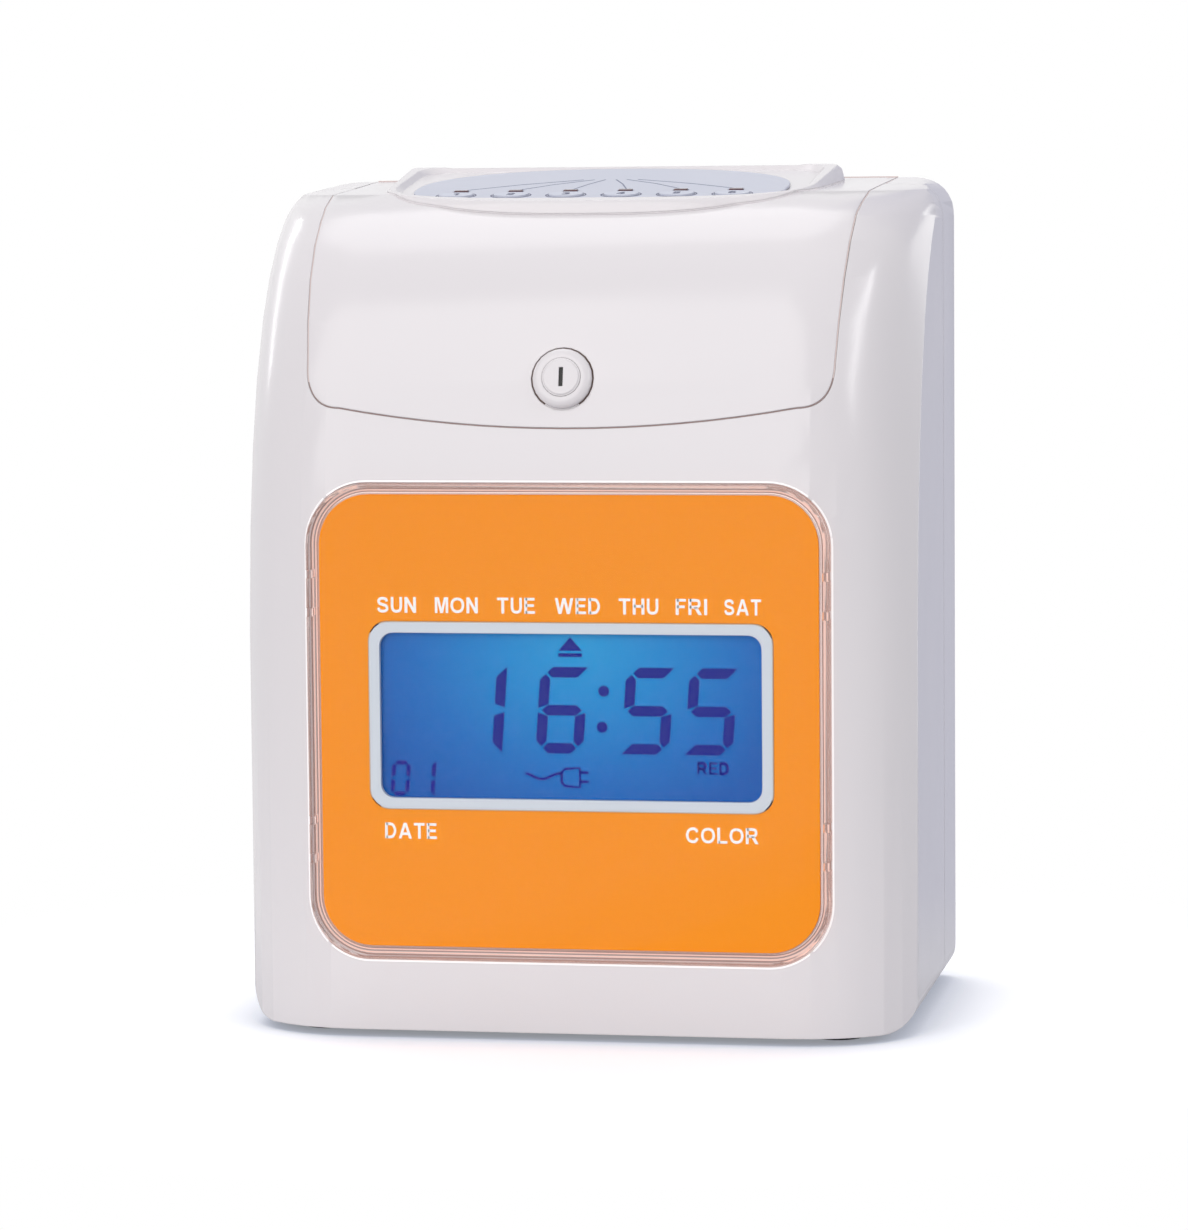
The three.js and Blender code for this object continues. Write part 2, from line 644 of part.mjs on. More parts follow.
// Case back: rear wall with keyholes, screw recesses, the inlet's opening and the lid hinge's ears
function rearHousing() {
  const backHalf = block([-WIDTH, SEAM_Y + SEAM_GAP / 2, -OVERRUN],
    [WIDTH, 2 * DEPTH, HEIGHT + OVERRUN]);
  const lidRoom = block(
    [-LID_TOP_HALF - SEAM_GAP / 2, -DEPTH, HINGE_Z - HINGE_BARREL_RADIUS - 2 * FIT],
    [LID_TOP_HALF + SEAM_GAP / 2, DEPTH, HEIGHT + OVERRUN],
  );
  let shell = caseShell.intersect(backHalf).subtract(lidRoom);
  for (const side of [-1, 1]) {
    const near = side * (LID_TOP_HALF + SEAM_GAP / 2);
    const far = side * (LID_TOP_HALF + SEAM_GAP / 2 + HINGE_EAR_WIDTH);
    const ear = block(
      [Math.min(near, far), BACK_Y - HINGE_EAR_DEPTH, HINGE_Z - HINGE_BARREL_RADIUS - WALL],
      [Math.max(near, far), BACK_Y, HEIGHT],
    );
    shell = shell.add(ear.intersect(outerForm));
  }
  shell = shell.subtract(rodAlongX(HINGE_ROD_RADIUS + FIT, -HINGE_ROD_HALF - FIT, HINGE_ROD_HALF + FIT,
    HINGE_Y, HINGE_Z));
  for (const [x, z] of screwPlaces()) {
    shell = shell.add(rodAlongY(SCREW_BOSS_RADIUS, SEAM_Y + SEAM_GAP / 2, BACK_Y - WALL / 2, x, z)
      .intersect(outerForm));
    shell = shell.subtract(rodAlongY(SCREW_HEAD_RADIUS, BACK_Y - SCREW_HEAD_DEPTH, BACK_Y + OVERRUN, x,
      z));
  }
  for (const x of [-KEYHOLE_X, KEYHOLE_X]) {
    const wide = rodAlongY(KEYHOLE_RADIUS, BACK_Y - 2 * WALL, BACK_Y + OVERRUN, x, KEYHOLE_Z);
    const narrow = rodAlongY(KEYHOLE_SLOT_RADIUS, BACK_Y - 2 * WALL, BACK_Y + OVERRUN, x,
      KEYHOLE_Z + KEYHOLE_RISE);
    const neck = block(
      [x - KEYHOLE_SLOT_RADIUS, BACK_Y - 2 * WALL, KEYHOLE_Z],
      [x + KEYHOLE_SLOT_RADIUS, BACK_Y + OVERRUN, KEYHOLE_Z + KEYHOLE_RISE],
    );
    shell = shell.subtract(wide.add(narrow).add(neck));
  }
  const inletHole = roundedRectangle(INLET_X, INLET_Z, INLET_WIDTH + 2 * FIT, INLET_HEIGHT + 2 * FIT,
    INLET_HEIGHT / 2);
  shell = shell.subtract(prismAlongY(inletHole, BACK_Y - 2 * WALL, BACK_Y + OVERRUN));
  for (const x of [-FOOT_X, FOOT_X]) {
    shell = shell.subtract(footRecess(x, FOOT_BACK_Y));
  }
  return shell;
}

const HINGE_ROD_HALF = LID_TOP_HALF + HINGE_EAR_WIDTH - WALL / 2;
const SETTING_Y = faceY(SETTING_Z + BOARD_THICK) + WALL + 2 * FIT;
const DISPLAY_BOARD_Y = SEAT_BACK_Y + BACKLIGHT_THICK + 2 * FIT;

function boardPostPlaces() {
  const places = [];
  for (const side of [-1, 1]) {
    for (const rise of [-1, 1]) {
      places.push([
        DISPLAY_X + side * (DISPLAY_BOARD_WIDTH / 2 - 2 * BOARD_POST_RADIUS),
        DISPLAY_Z + rise * (DISPLAY_BOARD_HEIGHT / 2 - BOARD_POST_RADIUS),
      ]);
    }
  }
  return places;
}

// Points of half a super-ellipse, from its left end round the front (or the back) to its right end.
function halfOval(half, middle, reach, squareness) {
  const points = [];
  for (let i = 0; i <= FINE; i += 1) {
    const angle = Math.PI * (1 - i / FINE);
    const c = Math.cos(angle);
    const s = Math.sin(angle);
    const across = Math.sign(c) * Math.abs(c) ** (2 / squareness);
    points.push([half * across, middle + reach * Math.abs(s) ** (2 / squareness)]);
  }
  return points;
}

// An outline in the collar's tilted frame: a super-ellipse in front, round corners behind.
function collarOutline(half, front, back, flare, corner, squareness) {
  const points = halfOval(half, COLLAR_WAIST, -front - COLLAR_WAIST, squareness);
  const turn = new THREE.EllipseCurve(half + flare - corner, back - corner, corner, corner,
    0, Math.PI / 2)
    .getPoints(CORNER_STEPS).map((point) => [point.x, point.y]);
  return [...points, ...turn, ...turn.map(([u, v]) => [-u, v]).reverse()];
}

function rimOutline(inset) {
  return collarOutline(COLLAR_HALF - inset, COLLAR_FRONT - inset, COLLAR_BACK - inset, COLLAR_FLARE,
    COLLAR_CORNER, COLLAR_SQUARENESS);
}

function dishOutline(inset) {
  return collarOutline(DISH_HALF - inset, DISH_FRONT - inset, DISH_BACK - inset, 0, DISH_CORNER,
    DISH_SQUARENESS);
}

function ringAt(outline, z) {
  return outline.map(([u, v]) => new THREE.Vector3(u, v, z));
}

// Turns a solid from the collar's tilted frame into the case's frame, and back.
function tilted(body) {
  return body.rotate([THREE.MathUtils.radToDeg(COLLAR_TILT), 0, 0]).translate([0, COLLAR_Y, COLLAR_Z]);
}

function levelled(body) {
  return body.translate([0, -COLLAR_Y, -COLLAR_Z]).rotate([-THREE.MathUtils.radToDeg(COLLAR_TILT), 0, 0]);
}

function keyX(index) {
  return (index - (KEY_COUNT - 1) / 2) * KEY_PITCH;
}

function oval(u, v, width, length) {
  const outline = new THREE.Shape();
  outline.absellipse(u, v, width / 2, length / 2, 0, 2 * Math.PI, false);
  return outline;
}

const LABEL_FLOOR = -DISH_DEPTH;
const LABEL_TOP = LABEL_FLOOR + FIT + LABEL_THICK;
const TRAY_UNDER = LABEL_FLOOR - DISH_FLOOR;
const KEY_FOOT = TRAY_UNDER - FIT - KEY_FLANGE;
const KEY_BOARD_TOP = KEY_FOOT - KEY_TRAVEL - 2 * FIT;

function keyHoles(grow) {
  let holes = null;
  for (let i = 0; i < KEY_COUNT; i += 1) {
    const key = prismAlongZ(oval(keyX(i), KEY_ROW, KEY_WIDTH + 2 * grow, KEY_LENGTH + 2 * grow),
      -COLLAR_SKIRT, COLLAR_SKIRT);
    const lamp = block(
      [keyX(i) - LAMP_WIDTH / 2 - grow, LAMP_ROW - LAMP_LENGTH / 2 - grow, -COLLAR_SKIRT],
      [keyX(i) + LAMP_WIDTH / 2 + grow, LAMP_ROW + LAMP_LENGTH / 2 + grow, COLLAR_SKIRT],
    );
    const pair = key.add(lamp);
    holes = holes ? holes.add(pair) : pair;
  }
  return holes;
}

// Collar: a raised rim with drawn-in sides on the lid, and a dished tray that drops through it
function cardCollar() {
  const levels = collarEdgeShares.map(([depthShare, insetShare]) => (
    ringAt(rimOutline(COLLAR_DRAFT * insetShare), -COLLAR_SKIRT * depthShare)
  ));
  const rim = loft(levels).subtract(levelled(lidSolid));
  const tray = prismAlongZ(outlineOf(rimOutline(COLLAR_FLANGE + FIT)), TRAY_UNDER, -DISH_DEPTH / 2);
  const dish = loft([
    ringAt(dishOutline(DISH_SLOPE), LABEL_FLOOR),
    ringAt(dishOutline(0), 0),
    ringAt(dishOutline(0), OVERRUN),
  ]);
  let collar = rim.add(tray).subtract(dish).subtract(keyHoles(FIT));
  for (const side of [-1, 1]) {
    const x = side * (KEY_BOARD_HALF - 2 * BOARD_POST_RADIUS);
    const v = KEY_ROW + KEY_BOARD_LENGTH / 2;
    collar = collar.add(rodAlongZ(BOARD_POST_RADIUS, KEY_BOARD_TOP + FIT, LABEL_FLOOR - FIT, x, v));
  }
  return collar;
}

// The lid filled solid outwards: what the collar is cut by, one fit clearance above the lid's skin
const lidSolid = caseForm(-FIT);

// Lid: a slice of the case walls with a hinge barrel, the collar's opening, a card slot and a lock hole
function flipLid() {
  const slice = prismAlongY(lidOutline(-SEAM_GAP / 2), -2 * DEPTH, HINGE_Y);
  const collarHole = tilted(prismAlongZ(outlineOf(rimOutline(COLLAR_FLANGE)), -COLLAR_SKIRT, OVERRUN));
  const slot = block([-CARD_SLOT_HALF, SLOT_FRONT_Y, HEIGHT - OVERRUN],
    [CARD_SLOT_HALF, SLOT_BACK_Y, HEIGHT + OVERRUN]);
  const barrelHalf = LID_TOP_HALF - SEAM_GAP / 2;
  const barrel = rodAlongX(HINGE_BARREL_RADIUS, -barrelHalf, barrelHalf, HINGE_Y, HINGE_Z, FINE);
  const rodHole = rodAlongX(HINGE_ROD_RADIUS + FIT, -WIDTH, WIDTH, HINGE_Y, HINGE_Z);
  const lockBore = rodAlongZ(LOCK_BODY_RADIUS + FIT, -OVERRUN, OVERRUN, 0, 0);
  const lockSeat = rodAlongZ(LOCK_BEZEL_RADIUS + LOCK_GROOVE, -LOCK_SINK, OVERRUN, 0, 0, FINE);
  const lockHole = lockFrame(lockBore.add(lockSeat));
  return caseShell.intersect(slice).add(barrel).subtract(collarHole)
    .subtract(slot).subtract(rodHole).subtract(lockHole);
}

// Turns a solid whose +Z points out of the lock's face into the case's frame.
function lockFrame(body) {
  const lean = THREE.MathUtils.radToDeg(LOCK_TILT);
  return body.rotate([90 - lean, 0, 0]).translate([LOCK_X, LOCK_Y, LOCK_Z]);
}

const LOCK_Y = faceY(LOCK_Z);

function labelOutline() {
  const front = LABEL_MARGIN + DISH_SLOPE - DISH_FRONT - LABEL_WAIST;
  const back = DISH_BACK - DISH_SLOPE - LABEL_MARGIN - LABEL_WAIST;
  const frontHalf = halfOval(LABEL_HALF, LABEL_WAIST, front, LABEL_FRONT_SQUARENESS);
  const backHalf = halfOval(LABEL_HALF, LABEL_WAIST, back, LABEL_BACK_SQUARENESS).reverse()
    .slice(1, -1);
  return outlineOf([...frontHalf, ...backHalf]);
}

function buildCase() {
  addPiece(part, 'front_shell', frontShell(), CASE_PLASTIC);
  addPiece(part, 'rear_housing', rearHousing(), CASE_PLASTIC);
  addPiece(part, 'flip_lid', flipLid(), CASE_PLASTIC);
  const rod = rodAlongX(HINGE_ROD_RADIUS, -HINGE_ROD_HALF, HINGE_ROD_HALF, HINGE_Y, HINGE_Z);
  addPiece(part, 'lid_hinge_rod', rod, STEEL);
  let number = 1;
  for (const y of [FOOT_FRONT_Y, FOOT_BACK_Y]) {
    for (const x of [-FOOT_X, FOOT_X]) {
      const tread = rodAlongZ(FOOT_RADIUS, 0, CASE_LIFT + FOOT_RECESS, x, y, FINE);
      addPiece(part, `foot_${number}`, tread, RUBBER);
      number += 1;
    }
  }
}

// Collar, label plate, keys and lamps, in the collar's tilted frame
function buildKeyPanel() {
  const panel = new THREE.Group();
  panel.position.set(0, COLLAR_Y, COLLAR_Z);
  panel.rotation.x = COLLAR_TILT;
  part.add(panel);
  addPiece(panel, 'card_collar', cardCollar(), CASE_PLASTIC);
  const label = prismAlongZ(labelOutline(), LABEL_FLOOR + FIT, LABEL_TOP).subtract(keyHoles(FIT));
  addPiece(panel, 'label_plate', label, LABEL_BLUE);
  for (let i = 0; i < KEY_COUNT; i += 1) {
    const cap = prismAlongZ(oval(keyX(i), KEY_ROW, KEY_WIDTH, KEY_LENGTH), KEY_FOOT,
      LABEL_TOP + KEY_PROUD);
    const flange = prismAlongZ(oval(keyX(i), KEY_ROW, KEY_WIDTH + KEY_FLANGE, KEY_LENGTH + KEY_FLANGE),
      KEY_FOOT, KEY_FOOT + KEY_FLANGE);
    addPiece(panel, `select_key_${i + 1}`, cap.add(flange), KEY_GREY);
  }
  const barHalf = keyX(KEY_COUNT - 1) + LAMP_WIDTH;
  const barTop = TRAY_UNDER - FIT;
  let guide = block([-barHalf, LAMP_ROW - LAMP_LENGTH, KEY_BOARD_TOP + FIT],
    [barHalf, LAMP_ROW + LAMP_LENGTH, barTop]);
  for (let i = 0; i < KEY_COUNT; i += 1) {
    guide = guide.add(block(
      [keyX(i) - LAMP_WIDTH / 2, LAMP_ROW - LAMP_LENGTH / 2, barTop - LAMP_BAR],
      [keyX(i) + LAMP_WIDTH / 2, LAMP_ROW + LAMP_LENGTH / 2, LABEL_TOP + LAMP_PROUD],
    ));
  }
  addPiece(panel, 'light_guide', guide, LAMP_RED);
  const board = block(
    [-KEY_BOARD_HALF, KEY_ROW - KEY_BOARD_LENGTH / 3, KEY_BOARD_TOP - BOARD_THICK],
    [KEY_BOARD_HALF, KEY_ROW + 2 * KEY_BOARD_LENGTH / 3, KEY_BOARD_TOP],
  );
  addPiece(panel, 'key_board', board, BOARD_GREEN);
}

// Key lock, in a frame whose +Z points out of the lid
function buildLock() {
  const lock = new THREE.Group();
  lock.position.set(LOCK_X, LOCK_Y, LOCK_Z);
  lock.rotation.x = Math.PI / 2 - LOCK_TILT;
  part.add(lock);
  const bore = LOCK_CYLINDER_RADIUS + FIT;
  const back = -LOCK_BODY_LENGTH;
  const seat = FIT / 2 - LOCK_SINK;
  const lip = bore + LOCK_BEZEL_LIP;
  const dome = new THREE.EllipseCurve(lip, LOCK_BEZEL_EDGE, LOCK_BEZEL_RADIUS - lip,
    LOCK_BEZEL_HEIGHT - LOCK_BEZEL_EDGE, 0, Math.PI / 2).getPoints(CORNER_STEPS + 1);
  const bezelProfile = [
    new THREE.Vector2(bore, back),
    new THREE.Vector2(LOCK_BODY_RADIUS, back),
    new THREE.Vector2(LOCK_BODY_RADIUS, seat),
    new THREE.Vector2(LOCK_BEZEL_RADIUS, seat),
    ...dome,
    new THREE.Vector2(bore, LOCK_BEZEL_HEIGHT),
    new THREE.Vector2(bore, back),
  ];
  const bezel = solid(new THREE.LatheGeometry(bezelProfile, FINE).rotateX(Math.PI / 2));
  addPiece(lock, 'lock_bezel', bezel, LOCK_WHITE);
  const plugTop = LOCK_BEZEL_HEIGHT + LOCK_CYLINDER_PROUD;
  const keyway = block(
    [-KEYWAY_WIDTH / 2, -KEYWAY_HEIGHT / 2, plugTop - KEYWAY_DEPTH],
    [KEYWAY_WIDTH / 2, KEYWAY_HEIGHT / 2, plugTop + OVERRUN],
  );
  const camBack = back - FIT - LOCK_CAM_THICK;
  const plugProfile = [
    [0, back],
    [LOCK_CYLINDER_RADIUS, back],
    [LOCK_CYLINDER_RADIUS, plugTop - LOCK_CYLINDER_CHAMFER],
    [LOCK_CYLINDER_RADIUS - LOCK_CYLINDER_CHAMFER, plugTop],
    [0, plugTop],
  ].map(([radius, height]) => new THREE.Vector2(radius, height));
  const plug = solid(new THREE.LatheGeometry(plugProfile, FINE).rotateX(Math.PI / 2));
  const stub = rodAlongZ(LOCK_CYLINDER_RADIUS / 2, camBack, back + FIT, 0, 0);
  addPiece(lock, 'lock_cylinder', plug.add(stub).subtract(keyway), LOCK_WHITE);
  const nut = prismAlongZ(disc(LOCK_NUT_RADIUS), back + LOCK_NUT_THICK, back + 2 * LOCK_NUT_THICK, 6)
    .subtract(rodAlongZ(LOCK_BODY_RADIUS + FIT, back - OVERRUN, OVERRUN, 0, 0, FINE));
  addPiece(lock, 'lock_nut', nut, STEEL);
  const camOutline = roundedRectangle((LOCK_CAM_REACH - LOCK_CAM_WIDTH / 2) / 2, 0,
    LOCK_CAM_REACH + LOCK_CAM_WIDTH / 2, LOCK_CAM_WIDTH, LOCK_CAM_CORNER);
  const cam = prismAlongZ(camOutline, camBack, camBack + LOCK_CAM_THICK)
    .subtract(rodAlongZ(LOCK_CYLINDER_RADIUS / 2 + FIT, back - OVERRUN, OVERRUN, 0, 0));
  addPiece(lock, 'lock_cam', cam, STEEL);
}

function buildDisplay() {
  const bevelled = new THREE.ExtrudeGeometry(windowOutline(-WINDOW_BEVEL), {
    depth: WINDOW_DEPTH - WINDOW_BEVEL,
    bevelEnabled: true,
    bevelThickness: WINDOW_BEVEL,
    bevelSize: WINDOW_BEVEL,
    bevelSegments: 2,
    curveSegments: CORNER_STEPS + 2,
  });
  const body = solid(bevelled.rotateX(Math.PI / 2).translate(0, SEAT_Y - FIT, 0));
  const trimmed = body.intersect(block(
    [-WIDTH, FRONT_Y - OVERRUN, 0],
    [WIDTH, SEAT_Y - FIT, HEIGHT],
  ));
  const pocket = prismAlongY(windowOutline(-WINDOW_RIM), FRONT_Y + WINDOW_FACE, FRONT_Y + OVERRUN,
    CORNER_STEPS + 2);
  let cover = trimmed.subtract(pocket);
  for (const side of [-1, 1]) {
    for (const tongueZ of [TONGUE_UPPER_Z, TONGUE_LOWER_Z]) {
      for (const end of [-1, 1]) {
        const z = tongueZ + end * (TONGUE_WIDTH + TONGUE_NOTCH) / 2;
        const outer = side * (WINDOW_HALF + OVERRUN);
        const inner = side * (WINDOW_HALF - TONGUE_NOTCH_DEPTH);
        cover = cover.subtract(block(
          [Math.min(outer, inner), FRONT_Y - OVERRUN, z - TONGUE_NOTCH / 2],
          [Math.max(outer, inner), SEAT_Y, z + TONGUE_NOTCH / 2],
        ));
      }
    }
  }
  addPiece(part, 'window_cover', cover, CLEAR_PLASTIC);

  const panelFront = FRONT_Y + WINDOW_FACE + 2 * FIT;
  const bezelHole = roundedRectangle(DISPLAY_X, DISPLAY_Z, BEZEL_WIDTH + 2 * FIT,
    BEZEL_HEIGHT + 2 * FIT, BEZEL_RADIUS);
  const panel = prismAlongY(windowOutline(-WINDOW_RIM - FIT), panelFront, SEAT_Y - FIT,
    CORNER_STEPS + 2)
    .subtract(prismAlongY(bezelHole, FRONT_Y, FRONT_Y + OVERRUN, CORNER_STEPS));
  addPiece(part, 'display_panel', panel, PANEL_ORANGE);

  const inner = roundedRectangle(DISPLAY_X, DISPLAY_Z, BEZEL_WIDTH - 2 * BEZEL_BORDER,
    BEZEL_HEIGHT - 2 * BEZEL_BORDER, BEZEL_RADIUS - BEZEL_BORDER / 2);
  const frame = roundedRectangle(DISPLAY_X, DISPLAY_Z, BEZEL_WIDTH, BEZEL_HEIGHT, BEZEL_RADIUS);
  const bezel = prismAlongY(frame, FRONT_Y + WINDOW_FACE + FIT, SEAT_Y - FIT, CORNER_STEPS + 2)
    .subtract(prismAlongY(inner, FRONT_Y, FRONT_Y + OVERRUN, CORNER_STEPS + 2));
  addPiece(part, 'display_bezel', bezel, BEZEL_SILVER);

  const glassWidth = BEZEL_WIDTH - 2 * GLASS_MARGIN;
  const glassHeight = BEZEL_HEIGHT - 2 * GLASS_MARGIN;
  const low = [DISPLAY_X - glassWidth / 2, SEAT_Y, DISPLAY_Z - glassHeight / 2];
  const high = [DISPLAY_X + glassWidth / 2, SEAT_Y + GLASS_THICK, DISPLAY_Z + glassHeight / 2];
  addPiece(part, 'display_glass', block(low, high), GLASS_BLUE);
  const lightFront = SEAT_BACK_Y + FIT;
  const backlight = block([low[0], high[1] + FIT, low[2]],
    [high[0], lightFront + BACKLIGHT_THICK, high[2]]);
  addPiece(part, 'display_backlight', backlight, CLEAR_PLASTIC);
  let board = block(
    [DISPLAY_X - DISPLAY_BOARD_WIDTH / 2, DISPLAY_BOARD_Y, DISPLAY_Z - DISPLAY_BOARD_HEIGHT / 2],
    [DISPLAY_X + DISPLAY_BOARD_WIDTH / 2, DISPLAY_BOARD_Y + BOARD_THICK,
      DISPLAY_Z + DISPLAY_BOARD_HEIGHT / 2],
  );
  for (const x of [-BEZEL_WIDTH / 4, BEZEL_WIDTH / 4]) {
    board = board.add(block(
      [DISPLAY_X + x - SWITCH_SIDE, DISPLAY_BOARD_Y, DISPLAY_Z - SWITCH_SIDE],
      [DISPLAY_X + x + SWITCH_SIDE, DISPLAY_BOARD_Y + BOARD_THICK + SWITCH_HEIGHT / 2,
        DISPLAY_Z + SWITCH_SIDE],
    ));
  }
  addPiece(part, 'display_board', board, BOARD_GREEN);
}

// Two setting buttons on a small board that rests on gussets behind the face
function buildSettingButtons() {
  const middleY = SETTING_Y + SETTING_BOARD_LENGTH / 2;
  const boardTop = SETTING_Z + BOARD_THICK;
  const switchTop = boardTop + SWITCH_HEIGHT;
  let board = block(
    [SETTING_X - SETTING_BOARD_WIDTH / 2, SETTING_Y, SETTING_Z],
    [SETTING_X + SETTING_BOARD_WIDTH / 2, SETTING_Y + SETTING_BOARD_LENGTH, boardTop],
  );
  for (const [name, x] of [['left', SETTING_X - SETTING_SPREAD],
    ['right', SETTING_X + SETTING_SPREAD]]) {
    board = board.add(block(
      [x - SWITCH_SIDE / 2, middleY - SWITCH_SIDE / 2, boardTop - BOARD_THICK / 2],
      [x + SWITCH_SIDE / 2, middleY + SWITCH_SIDE / 2, switchTop],
    )).subtract(rodAlongZ(BUTTON_STEM_RADIUS + FIT, boardTop, HEIGHT, x, middleY));
    const capLow = switchTop + BUTTON_TRAVEL + FIT;
    const cap = rodAlongZ(BUTTON_RADIUS, capLow, capLow + BUTTON_HEIGHT, x, middleY);
    const stem = rodAlongZ(BUTTON_STEM_RADIUS, boardTop + BUTTON_TRAVEL + FIT,
      capLow + BUTTON_HEIGHT / 2, x, middleY);
    addPiece(part, `set_button_${name}`, cap.add(stem), BLACK_PLASTIC);
  }
  addPiece(part, 'setting_board', board, BOARD_GREEN);
}

const CHASSIS_Z = CASE_LIFT + WALL + FIT;
const DECK_Z = CHASSIS_Z + PLATE + FIT;

function sidePlate(side) {
  const near = side * SIDE_PLATE_X;
  const far = side * (SIDE_PLATE_X + PLATE);
  const outline = outlineOf([
    [SIDE_PLATE_FRONT_Y, CHASSIS_Z],
    [CHASSIS_BACK_Y, CHASSIS_Z],
    [CHASSIS_BACK_Y, SIDE_PLATE_TOP_Z],
    [SIDE_PLATE_SHOULDER_Y, SIDE_PLATE_TOP_Z],
    [SIDE_PLATE_FRONT_Y, SIDE_PLATE_SHOULDER_Z],
  ]);
  let plate = prismAlongX(outline, Math.min(near, far), Math.max(near, far));
  const holes = [
    [LOWER_ROD_RADIUS, ROD_Y, LOWER_ROD_Z],
    [UPPER_ROD_RADIUS, ROD_Y, UPPER_ROD_Z],
    [FEED_SHAFT_RADIUS, FEED_Y, FEED_Z],
  ];
  if (side > 0) {
    holes.push([MOTOR_SHAFT_RADIUS, FEED_MOTOR_Y, FEED_Z]);
  }
  for (const [radius, y, z] of holes) {
    plate = plate.subtract(rodAlongX(radius + FIT, -WIDTH, WIDTH, y, z));
  }
  return plate;
}

const FEED_Y = CARD_Y - FIT / 2 - FEED_WHEEL_RADIUS;
const PINCH_Y = CARD_Y + FIT / 2 + PINCH_WHEEL_RADIUS;
const GEAR_RADIUS = GEAR_MODULE * GEAR_TEETH / 2;
const PINION_RADIUS = GEAR_MODULE * PINION_TEETH / 2;
const FEED_MOTOR_Y = FEED_Y - GEAR_RADIUS - PINION_RADIUS - GEAR_PLAY;
const INNER_HALF = SIDE_PLATE_X - FIT;

function buildChassis() {
  const base = block([-INNER_HALF, CHASSIS_FRONT_Y, CHASSIS_Z],
    [INNER_HALF, CHASSIS_BACK_Y, CHASSIS_Z + PLATE]);
  addPiece(part, 'chassis_base', base, STEEL);
  addPiece(part, 'side_plate_left', sidePlate(-1), STEEL);
  addPiece(part, 'side_plate_right', sidePlate(1), STEEL);
}

// Card chute: two guide plates with a print window and windows for the feed wheels
function chuteWindows(wheelRadius) {
  let windows = block(
    [-PRINT_WINDOW_HALF, 0, PRINT_Z - PRINT_WINDOW_HEIGHT / 2],
    [PRINT_WINDOW_HALF, DEPTH, PRINT_Z + PRINT_WINDOW_HEIGHT / 2],
  );
  for (const x of [-FEED_WHEEL_X, FEED_WHEEL_X]) {
    const half = FEED_WHEEL_WIDTH / 2 + 2 * FIT;
    windows = windows.add(block(
      [x - half, 0, FEED_Z - wheelRadius - FIT],
      [x + half, DEPTH, FEED_Z + wheelRadius + FIT],
    ));
  }
  return windows;
}

function buildChute() {
  const front = block([-INNER_HALF, SLOT_FRONT_Y - CHUTE_PLATE, DECK_Z],
    [INNER_HALF, SLOT_FRONT_Y, CHUTE_TOP_Z])
    .subtract(chuteWindows(FEED_WHEEL_RADIUS));
  addPiece(part, 'chute_front', front, STEEL);
  const lip = block(
    [-PINCH_HALF, SLOT_FRONT_Y + FIT, CHUTE_FOOT_Z],
    [PINCH_HALF, SLOT_BACK_Y + CHUTE_PLATE / 2, CHUTE_FOOT_Z + CHUTE_PLATE],
  );
  let back = block([-INNER_HALF, SLOT_BACK_Y, DECK_Z],
    [INNER_HALF, SLOT_BACK_Y + CHUTE_PLATE, CHUTE_TOP_Z])
    .subtract(chuteWindows(PINCH_WHEEL_RADIUS))
    .add(lip);
  for (const side of [-1, 1]) {
    const x = side * PINCH_HALF;
    back = back.add(block(
      [x - PINCH_SHAFT_RADIUS, SLOT_BACK_Y + CHUTE_PLATE / 2, FEED_Z - 2 * PINCH_SHAFT_RADIUS],
      [x + PINCH_SHAFT_RADIUS, PINCH_Y + 2 * PINCH_SHAFT_RADIUS, FEED_Z + 2 * PINCH_SHAFT_RADIUS],
    ));
  }
  back = back.subtract(rodAlongX(PINCH_SHAFT_RADIUS + FIT, -PINCH_HALF - FIT, PINCH_HALF + FIT, PINCH_Y,
    FEED_Z));
  addPiece(part, 'chute_back', back, STEEL);
}

